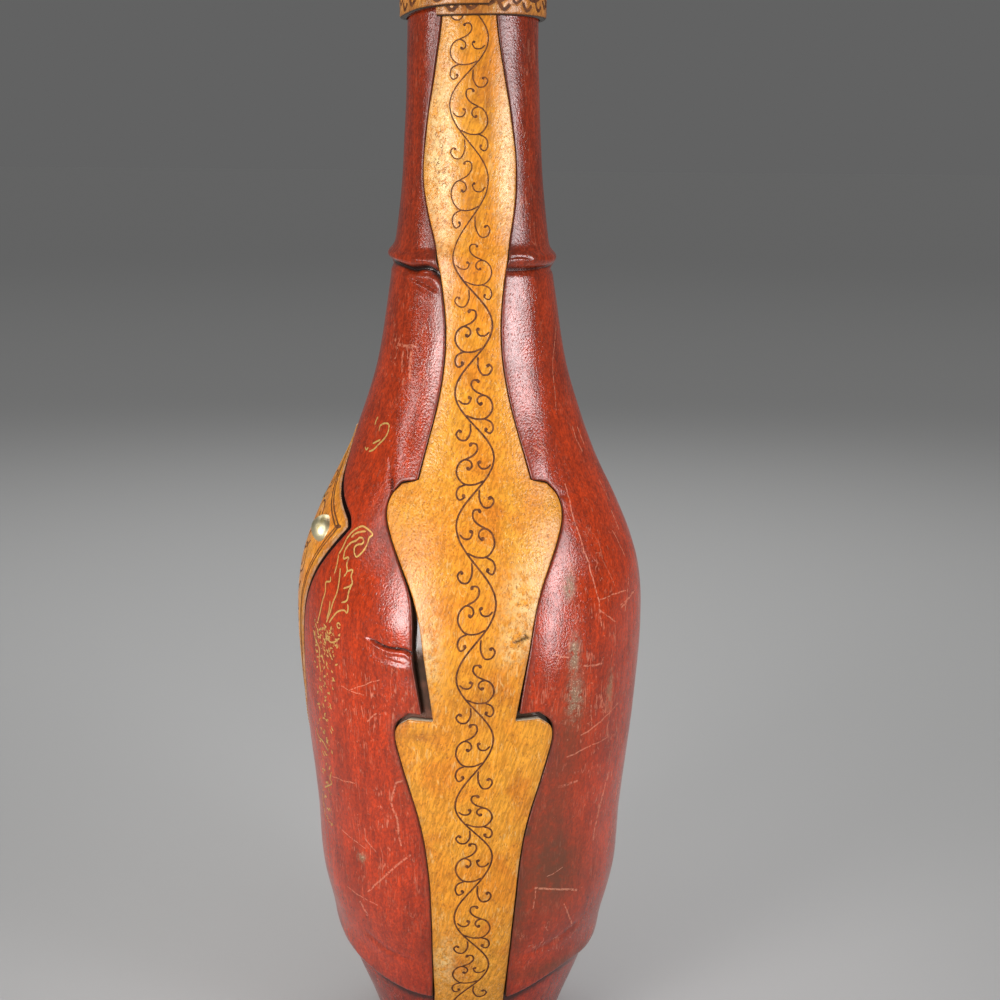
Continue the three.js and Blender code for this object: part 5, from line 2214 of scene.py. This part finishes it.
@dataclass
class NeckCollar(SubAssembly):
    """Tooled band wound once round the neck, whose outer end laps over its inner end."""

    height: float = 19.3
    thickness: float = 1.7
    lap_start: float = -29
    lap_end: float = 11
    ramp: float = 40
    roll: float = 0.9
    columns: int = 330
    face_rows: int = 38
    lap_drop: float = 2.4
    inner: float = 17.65
    pitch: float = 10.5
    margin: float = 8
    first_scroll: float = 6.5
    leaves: Tuple[Pair, ...] = ((-3.4, 7), (0.8, 8.2), (4.4, 6.6), (-2.4, -8.3), (2.6, -8))
    flesh_rows: int = 5
    wrap_start: float = 2000

    def spiral(self, turn: Array) -> Array:
        """How far the band stands off at an angle in degrees, which runs on past a full turn."""
        rise = 360 + self.lap_start
        return (self.thickness + JACKET.fit) * smoothstep(rise - self.ramp, rise, turn)

    def low(self, turn: Array) -> Array:
        """Height of the band's lower edge, whose outer end is set a little higher."""
        raised = self.lap_drop * smoothstep(250 + self.lap_end, 340 + self.lap_end, turn)
        return JACKET.collar + raised + 0.25 * np.sin(np.radians(turn) * 2)

    def place(self, turn: Array, up: Array, lift: Array) -> Array:
        """Points on the band's outer face, by angle in degrees and height above its lower edge."""
        radius = self.inner + self.thickness + self.spiral(turn) + lift
        return ring_points(np.radians(turn), radius, self.low(turn) + up)

    def strokes(self) -> List[Stroke]:
        """Tooled lines of the band.

        Returns:
            Strokes by arc from the band's inner end and height above its lower edge.
        """
        length = math.radians(360 + self.lap_end - self.lap_start) * (self.inner + self.thickness)
        made = []
        middle = self.height / 2
        for k in range(int((length - self.margin) / self.pitch)):
            x = self.first_scroll + k * self.pitch
            side = 1 if k % 2 else -1
            ring = curl((x, middle + 1.4 * side), 5, 90 + 90 * side, 1.5 * side, 0.2)
            made.append(Stroke(tuple(ring), 1, 0.9))
            wave = ((x - 5.2, middle - 1 * side), (x, middle - 6 * side), (x + 5.4, middle + 1.2 * side))
            made.append(Stroke(wave, 1.1))
            for out, up in self.leaves:
                leaf = ((x + out - 1.6, middle - 0.75 * up * side), (x + out, middle - up * side),
                        (x + out + 1.9, middle - 0.84 * up * side))
                made.append(Stroke(leaf, 0.9, 0.5))
        return made

    def surface(self, arc: Array, up: Array, lift: Array) -> Array:
        """Points on the band by arc along it."""
        turn = self.lap_start + np.degrees(arc / (self.inner + self.thickness))
        return self.place(turn, up, lift)

    def build(self) -> None:
        """Builds the band, its painted edges and its tooled lines."""
        turn = np.linspace(self.lap_start, 360 + self.lap_end, self.columns)
        shares = np.array(ROLL_SHARES)
        drop = self.roll - np.sqrt(self.roll ** 2 - (self.roll * (1 - shares)) ** 2)
        up_face = np.linspace(self.roll, self.height - self.roll, self.face_rows)
        up = np.concatenate([
            shares * self.roll,
            up_face,
            self.height - (shares * self.roll)[::-1],
            np.linspace(self.height, 0, self.flesh_rows),
        ])
        flesh = np.full(self.flesh_rows, -self.thickness)
        lift = np.concatenate([-drop, np.zeros(self.face_rows), -drop[::-1], flesh])
        raw = np.concatenate([np.ones(3), np.zeros(self.face_rows + 2), np.ones(8)])
        rim = np.exp(-np.minimum(up, self.height - up) / 1.2)
        up, lift, raw, rim = (np.append(values, values[0]) for values in (up, lift, raw, rim))
        turns, ups = np.meshgrid(turn, up, indexing="ij")
        arc = np.radians(turns - self.lap_start) * (self.inner + self.thickness)
        strokes = self.strokes()
        outer = lift > -self.thickness + 0.01
        pressed = np.where(outer[None, :], trough(arc, ups, strokes, 0.5, 0.18), 0)
        points = self.place(turns, ups, lift[None, :] + pressed)
        wander = 0.1 * lumps(points, 9, 2)
        points[..., :2] *= 1 + np.where(outer[None, :], wander, 0)[..., None] / self.inner
        wrap = np.stack([arc + self.wrap_start, ups], axis=-1)
        marks = {"raw": np.broadcast_to(raw, arc.shape), "rim": np.broadcast_to(rim, arc.shape)}
        piece = wrapped_grid("collar_band", points, wrap, marks)
        tidy_mesh(piece, fill=True)
        dress(piece, self.finishes.collar, Body.BOTTLE, Slot.TAN, ["neck_collar"])
        lines = tooled_lines("collar_tooling", strokes, self.surface, 0, VINE_KEEL)
        dress(lines, self.finishes.burnt, Body.BOTTLE, Slot.TAN)


@dataclass
class FootCup(SubAssembly):
    """Red leather cup under the bottle, notched for the straps, tucked under the jacket's hem."""

    front: JacketCover
    rear: JacketCover
    tuck: float = 1.4
    # Depth below the hem down to which the cup is painted dark, as the hem's shadow.
    shadow: float = 3.2
    gap: float = 0.35
    sector_columns: int = 110
    outer_rows: int = 34
    corner: float = 1
    notch_shares: Tuple[float, ...] = (-1, -0.99, -0.4, 0.4, 0.99, 1)
    notch_depth: float = 1.45
    strap_end: float = 4.6
    wrap_start: float = 4000

    def build(self) -> None:
        """Builds and dresses the cup."""
        bottom = JACKET.heights[0]
        low_row = bottom + self.corner
        down = np.concatenate([np.zeros(1), np.linspace(0.03, 1, self.outer_rows) ** 1.1])
        rows = []
        for k, share in enumerate(down):
            rows.append(self._ring(share, low_row, -0.7 if k == 0 else 0, True))
        sole_radius = JACKET.radii[0]
        for angle in np.linspace(0.25, 1, 4) * math.pi / 2:
            radius = sole_radius - self.corner * (1 - math.cos(angle))
            rows.append(self._flat(radius, low_row - self.corner * math.sin(angle)))
        for share in (0.8, 0.5, 0.2, 0):
            rows.append(self._flat(share * sole_radius, bottom))
        inside = [self._flat(0, bottom + JACKET.leather), self._flat(20, bottom + JACKET.leather)]
        for share in (1, 0.8, 0.5, 0.2, 0):
            inside.append(self._ring(share, bottom + JACKET.leather + 0.4, -JACKET.leather - 0.1, False))
        points = np.stack([*inside, *rows], axis=0)
        points = np.concatenate([points, points[:, :1]], axis=1)
        raw = np.zeros(points.shape[:2])
        raw[:len(inside) + 1] = 1
        # Painted shadow under the hem: the rim mark darkens the cup's top rows, and the dark mark darkens it
        # down to the shadow depth, then fades.
        rim = np.zeros(points.shape[:2])
        rim[len(inside):len(inside) + 4] = 0.7
        below = points[len(inside), :, 2] - points[..., 2]
        painted_shade = 0.9 * (1 - smoothstep(self.shadow, self.shadow + 2.6, below))
        angle = np.arctan2(points[..., 1], points[..., 0])
        wrap = np.stack([angle * JACKET.radii[1] + self.wrap_start, points[..., 2]], axis=-1)
        piece = wrapped_grid("foot_leather", points, wrap, {"raw": raw, "rim": rim, "painted_shade": painted_shade})
        tidy_mesh(piece)
        dress(piece, self.finishes.red, Body.BOTTLE, Slot.RED, ["foot_cover"])

    def _bearings(self, height: float) -> Tuple[Array, Array]:
        """Bearings round the cup and how far each lies in a strap's notch.

        Args:
            height: height at which the straps are met.

        Returns:
            Angles in radians, and 1 in a notch or 0 beside it.
        """
        side = STRAP.side()
        order = np.argsort(side[:, 1])
        half = float(np.interp(height, side[order, 1], side[order, 0])) + self.gap
        notch = half / float(JACKET.radius(np.array(height)))
        angles, depths = [], []
        for middle in (0, math.pi):
            for share in self.notch_shares:
                angles.append(middle + share * notch)
                depths.append(float(abs(share) < 1))
            sweep = np.linspace(middle + notch, middle + math.pi - notch, self.sector_columns)[1:-1]
            angles.extend(sweep)
            depths.extend(np.zeros(len(sweep)))
        return np.array(angles), np.array(depths)

    def _hem(self, angle: Array) -> Array:
        """Height of the jacket's hem round the cup."""
        from_strap = np.arcsin(np.clip(np.abs(np.sin(angle)), 0, 1))
        return np.where(np.sin(angle) < 0, self.front.hem(from_strap), self.rear.hem(from_strap))

    def _ring(self, share: float, low: float, lift: float, notched: bool) -> Array:
        """One ring of the cup's side.

        Args:
            share: 0 at the hem, 1 at the sole.
            low: height of the lowest ring.
            lift: how far the ring stands off the jacket's outline.
            notched: whether the straps' notches show in it.

        Returns:
            Points round the cup.
        """
        guess = JACKET.crease + (low - JACKET.crease) * share
        angle, depth = self._bearings(max(guess, self.strap_end))
        top = self._hem(angle) + 0.4
        height = top + (low - top) * share
        spots = JACKET.place(angle, height, np.zeros_like(angle))
        uneven = 0.12 * lumps(spots, 15, 6) * (share < 0.97)
        notch = self.notch_depth * depth * notched * smoothstep(3.2, 5, height)
        tucked = self.tuck * np.exp((height - top) / 2.2)
        return JACKET.place(angle, height, lift - tucked + uneven - notch)

    def _flat(self, radius: float, height: float) -> Array:
        """A level ring of the cup's sole."""
        angle, _ = self._bearings(self.strap_end)
        return ring_points(angle, np.full(len(angle), radius), np.full(len(angle), height))


@dataclass
class BasePad(SubAssembly):
    """Felt pad that the decanter stands on."""

    thickness: float = 1.5
    radius: float = 24
    edge: float = 0.5

    def build(self) -> None:
        """Builds and dresses the pad."""
        inner = self.radius - self.edge
        profile = [(0, 0), (0.5 * inner, 0), (inner, 0)]
        for angle in np.linspace(-80, 80, 7):
            turn = math.radians(angle)
            profile.append((inner + self.edge * math.cos(turn), self.thickness / 2 * (1 + math.sin(turn))))
        profile += [(inner, self.thickness), (0.5 * inner, self.thickness), (0, self.thickness)]
        piece = turned("base_felt", profile, 96)
        dress(piece, self.finishes.felt, Body.BOTTLE, Slot.FELT, ["base_pad"])


@dataclass
class Stopper(SubAssembly):
    """Cork with a leather-covered turned knob, a tan band and a brass stud on top."""

    seat: float = 317.3
    cork_radius: float = 11.15
    cork_taper: float = 0.8
    cork_depth: float = 26
    cork_socket: float = 6
    flange_radius: float = 16.2
    flange_height: float = 5.6
    waist_radius: float = 13.4
    waist_rise: float = 3
    swell_radius: float = 16.2
    swell_rise: float = 6.3
    knob_radius: float = 17.4
    knob_rise: float = 14
    crown: float = 13
    leather: float = 1.4
    band: float = 1.6
    stud_radius: float = 4.2
    stud_dome: float = 2.4
    shank: float = 0.8
    pleats: int = 26
    steps: int = 72
    wrap_start: float = 5000

    def knob_line(self, depth: float, count: int) -> Array:
        """Side of the knob from its waist to its crown.

        Args:
            depth: how far it is grown outwards.
            count: number of points.

        Returns:
            Points of radius and height.
        """
        waist = self.seat + self.flange_height + self.waist_rise
        widest = waist + self.knob_rise
        places = [(self.waist_radius + depth, waist), (self.swell_radius + depth, waist + self.swell_rise)]
        for angle in np.linspace(0, math.pi / 2, 7):
            radius = (self.knob_radius + depth) * math.cos(angle)
            places.append((max(radius, 0), widest + (self.crown + depth) * math.sin(angle)))
        return spaced(smooth_line(places), np.linspace(0, 1, count))

    def _cork(self) -> None:
        """Builds the cork."""
        bottom = JACKET.lip - self.cork_depth
        low = self.cork_radius - self.cork_taper
        side = [(low + self.cork_taper * share, bottom + 1 + (self.cork_depth - 1) * share)
                for share in np.linspace(0, 1, 14)]
        top = self.seat + self.cork_socket
        profile = [
            (0, bottom), (0.5 * low, bottom), (low - 0.9, bottom), (low - 0.25, bottom + 0.3), *side,
            (self.cork_radius, top), (0, top),
        ]
        piece = turned("stopper_cork_plug", profile, self.steps)
        dented(piece, 5, 0.12, 3)
        dress(piece, self.finishes.cork, Body.STOPPER, Slot.CORK, ["stopper_cork"])

    def _core(self) -> None:
        """Builds the turned core, whose waist shows between band and cover."""
        socket = self.cork_radius + JACKET.fit
        roof = self.seat + self.cork_socket + JACKET.fit
        top = self.seat + self.flange_height
        flange = self.flange_radius
        profile = [
            (0, roof), (socket, roof), (socket, self.seat), (flange - 0.3, self.seat),
            (flange, self.seat + 0.3), (flange, top - 0.8), (flange - 0.25, top - 0.25), (flange - 0.8, top),
            (self.waist_radius + 0.5, top), (self.waist_radius, top + 0.5),
            *map(tuple, self.knob_line(0, 40)[:-1]),
            (0, top + self.waist_rise + self.knob_rise + self.crown),
        ]
        piece = turned("stopper_wood", profile, self.steps)
        dress(piece, self.finishes.wood, Body.STOPPER, Slot.WOOD, ["stopper_core"])

    def _cover(self) -> None:
        """Builds the knob's leather, gathered in pleats at its waist."""
        outer = self.knob_line(JACKET.fit + self.leather, 90)
        inner = self.knob_line(JACKET.fit, 16)[::-1]
        edge = self.leather / 2
        middle = (outer[0, 0] - edge, outer[0, 1])
        hem = [(middle[0] + edge * math.cos(a), middle[1] - 0.6 * edge * math.sin(a))
               for a in np.linspace(0, math.pi, 7)[1:-1]]
        line = np.vstack([inner, np.array(hem)[::-1], outer])
        first_outer = len(inner) + len(hem)
        turn = np.linspace(0, 2 * math.pi, 220)
        radius = np.repeat(line[:, :1], len(turn), axis=1)
        height = np.repeat(line[:, 1:], len(turn), axis=1)
        waist = self.seat + self.flange_height + self.waist_rise
        up = height - waist
        outside = np.zeros(len(line))
        outside[first_outer:] = 1
        wave = np.cos(self.pleats * turn + 1.3 * np.sin(3 * turn))
        pleat = 0.42 * wave * np.exp(-((up / 5.5) ** 2))
        crown = waist + self.knob_rise + self.crown
        pucker = 0.16 * np.cos(17 * turn) * np.exp(-(((height - crown) / 2.6) ** 2))
        pucker = pucker * smoothstep(2.5, 6, radius)
        rough = 0.16 * lumps(ring_points(turn, radius, height), 11, 7)
        lift = outside[:, None] * (pleat + pucker + rough) * smoothstep(0, 3, radius)
        radius = np.maximum(radius + lift, 0)
        points = ring_points(turn, radius, height)
        points[[0, -1], :, :2] = 0
        raw = np.repeat((1 - outside)[:, None], len(turn), axis=1)
        rim = np.exp(-np.maximum(up, 0) / 2.5) * outside[:, None]
        wrap = np.stack([turn * self.knob_radius + self.wrap_start + 0 * height, height], axis=-1)
        piece = wrapped_grid("stopper_knob_leather", points, wrap, {"raw": raw, "rim": rim})
        tidy_mesh(piece)
        dress(piece, self.finishes.red, Body.STOPPER, Slot.RED, ["stopper_cover"])

    def _band(self) -> None:
        """Builds the tan band round the flange, with two pressed lines."""
        inner = self.flange_radius + JACKET.fit
        outer = inner + self.band
        low = self.seat
        high = self.seat + self.flange_height
        section = [(inner, low), (outer - 0.4, low), (outer - 0.1, low + 0.1), (outer, low + 0.4)]
        for line in (low + 1.5, high - 1.5):
            section += [(outer, line - 0.35), (outer - 0.22, line), (outer, line + 0.35)]
        section += [(outer, high - 0.4), (outer - 0.1, high - 0.1), (outer - 0.4, high)]
        section += [(inner, high), (inner, low)]
        piece = turned("stopper_band_leather", section, 120)
        dented(piece, 9, 0.06, 5)
        dress(piece, self.finishes.tan, Body.STOPPER, Slot.TAN, ["stopper_band"])

    def _stud(self) -> None:
        """Builds the brass stud on the knob."""
        crown = self.seat + self.flange_height + self.waist_rise + self.knob_rise + self.crown
        piece = turned("stopper_brass", stud_profile(self.stud_radius, self.stud_dome, self.shank, 2.5), 48)
        dented(piece, 3, 0.06, 2)
        seat = crown + JACKET.fit + self.leather + JACKET.fit
        piece.data.transform(Matrix.Translation((0, 0, seat * MM)))
        dress(piece, self.finishes.brass, Body.STOPPER, Slot.BRASS, ["stopper_stud"])

    def build(self) -> None:
        """Builds the stopper from the cork up."""
        self._cork()
        self._core()
        self._cover()
        self._band()
        self._stud()


@dataclass
class Studio:
    """Camera at the photograph's viewing angle, pale sweep and soft lights."""

    camera_out: float = 426.9
    camera_up: float = 266.9
    pitch: float = 13.63
    yaw: float = 1.11
    roll: float = 0.53
    lens: float = 55.69
    sensor: float = 36
    floor: Colour = (0.40, 0.40, 0.398)
    far_floor: Colour = (0.30, 0.30, 0.299)
    overhead: float = 0.9
    overhead_angle: float = 100
    surround: Colour = (0.122, 0.1222, 0.1222)
    spread: float = 110
    floor_half: float = 9000

    def camera(self) -> None:
        """Places the camera."""
        data = bpy.data.cameras.new("camera")
        data.lens = self.lens
        data.sensor_width = self.sensor
        data.clip_start = 0.01
        camera = bpy.data.objects.new("camera", data)
        bpy.context.scene.collection.objects.link(camera)
        pitch = math.radians(self.pitch)
        right = Vector((0, 1, 0))
        up = Vector((-math.sin(pitch), 0, math.cos(pitch)))
        back = Vector((math.cos(pitch), 0, math.sin(pitch)))
        level = Matrix((right, up, back)).transposed().to_4x4()
        yaw = Matrix.Rotation(-math.radians(self.yaw), 4, "Z")
        roll = Matrix.Rotation(math.radians(self.roll), 4, "Z")
        place = Matrix.Translation(Vector((self.camera_out, 0, self.camera_up)) * MM)
        camera.matrix_world = place @ yaw @ level @ roll
        bpy.context.scene.camera = camera

    def lights(self) -> None:
        """Places panels on each side, a box behind, an overhead light and a dim surround."""
        boxes = (
            ("left_panel", (270, -215, 185), 185, (120, 280), 0.545, (1, 0.97, 0.955)),
            ("right_panel", (212, 252, 152), 152, (84, 214), 0.215, (0.98, 0.97, 1)),
            ("left_high", (116, -319, 314), 280, (86, 52), 0.045, (1, 0.97, 0.955)),
            ("right_high", (166, 286, 282), 270, (196, 72), 0.21, (0.98, 0.97, 1)),
            ("rear_box", (-650, 0, 900), 150, (900, 900), 3, (1, 1, 1)),
        )
        for name, place, aim, size, power, colour in boxes:
            data = bpy.data.lights.new(name, "AREA")
            data.shape = "RECTANGLE"
            data.size = size[0] * MM
            data.size_y = size[1] * MM
            data.energy = power
            data.color = colour
            data.spread = math.radians(self.spread)
            lamp = bpy.data.objects.new(name, data)
            lamp.location = Vector(place) * MM
            way = Vector((0, 0, aim * MM)) - lamp.location
            lamp.rotation_euler = way.to_track_quat("-Z", "Y").to_euler()
            lamp.visible_camera = False
            bpy.context.scene.collection.objects.link(lamp)
        sky = bpy.data.lights.new("overhead", "SUN")
        sky.energy = self.overhead
        sky.angle = math.radians(self.overhead_angle)
        lamp = bpy.data.objects.new("overhead", sky)
        lamp.visible_glossy = False
        bpy.context.scene.collection.objects.link(lamp)
        world = bpy.data.worlds.new("surround")
        world.use_nodes = True
        bpy.context.scene.world = world
        graph = Graph(world.node_tree)
        background = graph.node("ShaderNodeBackground", {"Color": (*self.surround, 1)})
        graph.node("ShaderNodeOutputWorld", {"Surface": background.outputs[0]})

    def sweep(self) -> None:
        """Builds the pale floor."""
        deselect()
        bpy.ops.mesh.primitive_plane_add(size=2 * self.floor_half * MM)
        floor = bpy.context.object
        floor.name = "floor"
        material, graph, shader = new_material("floor_paper")
        # The paper darkens with distance from the middle: a painted fall-off of light.
        away = graph.span(graph.vector("LENGTH", graph.place()).outputs["Value"], 0.5, 3)
        paper = graph.mix(away, self.floor, self.far_floor)
        graph.fill(shader, {"Base Color": paper, "Roughness": 0.9, "Specular IOR Level": 0.1})
        floor.data.materials.append(material)

    def build(self) -> None:
        """Builds the whole studio."""
        self.camera()
        self.lights()
        self.sweep()
        bpy.context.scene.view_settings.view_transform = "Standard"


def main() -> None:
    """Builds the decanter piece by piece, then the studio, and notes the sizes."""
    logging.basicConfig(level=logging.INFO, format="%(name)s %(message)s")
    finishes = Finishes()
    GlassBottle(finishes).build()
    front = JacketCover(
        finishes,
        Half.FRONT,
        "front_cover",
        CutGaps(neck=0.25, cap=0.4, taper=0.8, middle=3.1, ledge_side=3.3, ledge_rise=1.5, skirt=0.25),
        Hem(low=26.9, start=14, end=52, rise=9),
    )
    rear = JacketCover(
        finishes,
        Half.REAR,
        "rear_cover",
        CutGaps(neck=0.25, cap=0.35, taper=0.2, middle=0.35, ledge_side=1.1, ledge_rise=1.7, skirt=0.4),
        Hem(low=26, start=8, end=30, rise=6.4),
    )
    front.build()
    rear.build()
    GoldTooling(finishes, front).build()
    StrapPiece(finishes, Bearing.RIGHT, "right_strap").build()
    StrapPiece(finishes, Bearing.LEFT, "left_strap").build()
    ShieldPiece(finishes).build()
    NeckCollar(finishes).build()
    FootCup(finishes, front, rear).build()
    BasePad(finishes).build()
    Stopper(finishes).build()
    Studio().build()
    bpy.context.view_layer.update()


if __name__ == "__main__":
    main()
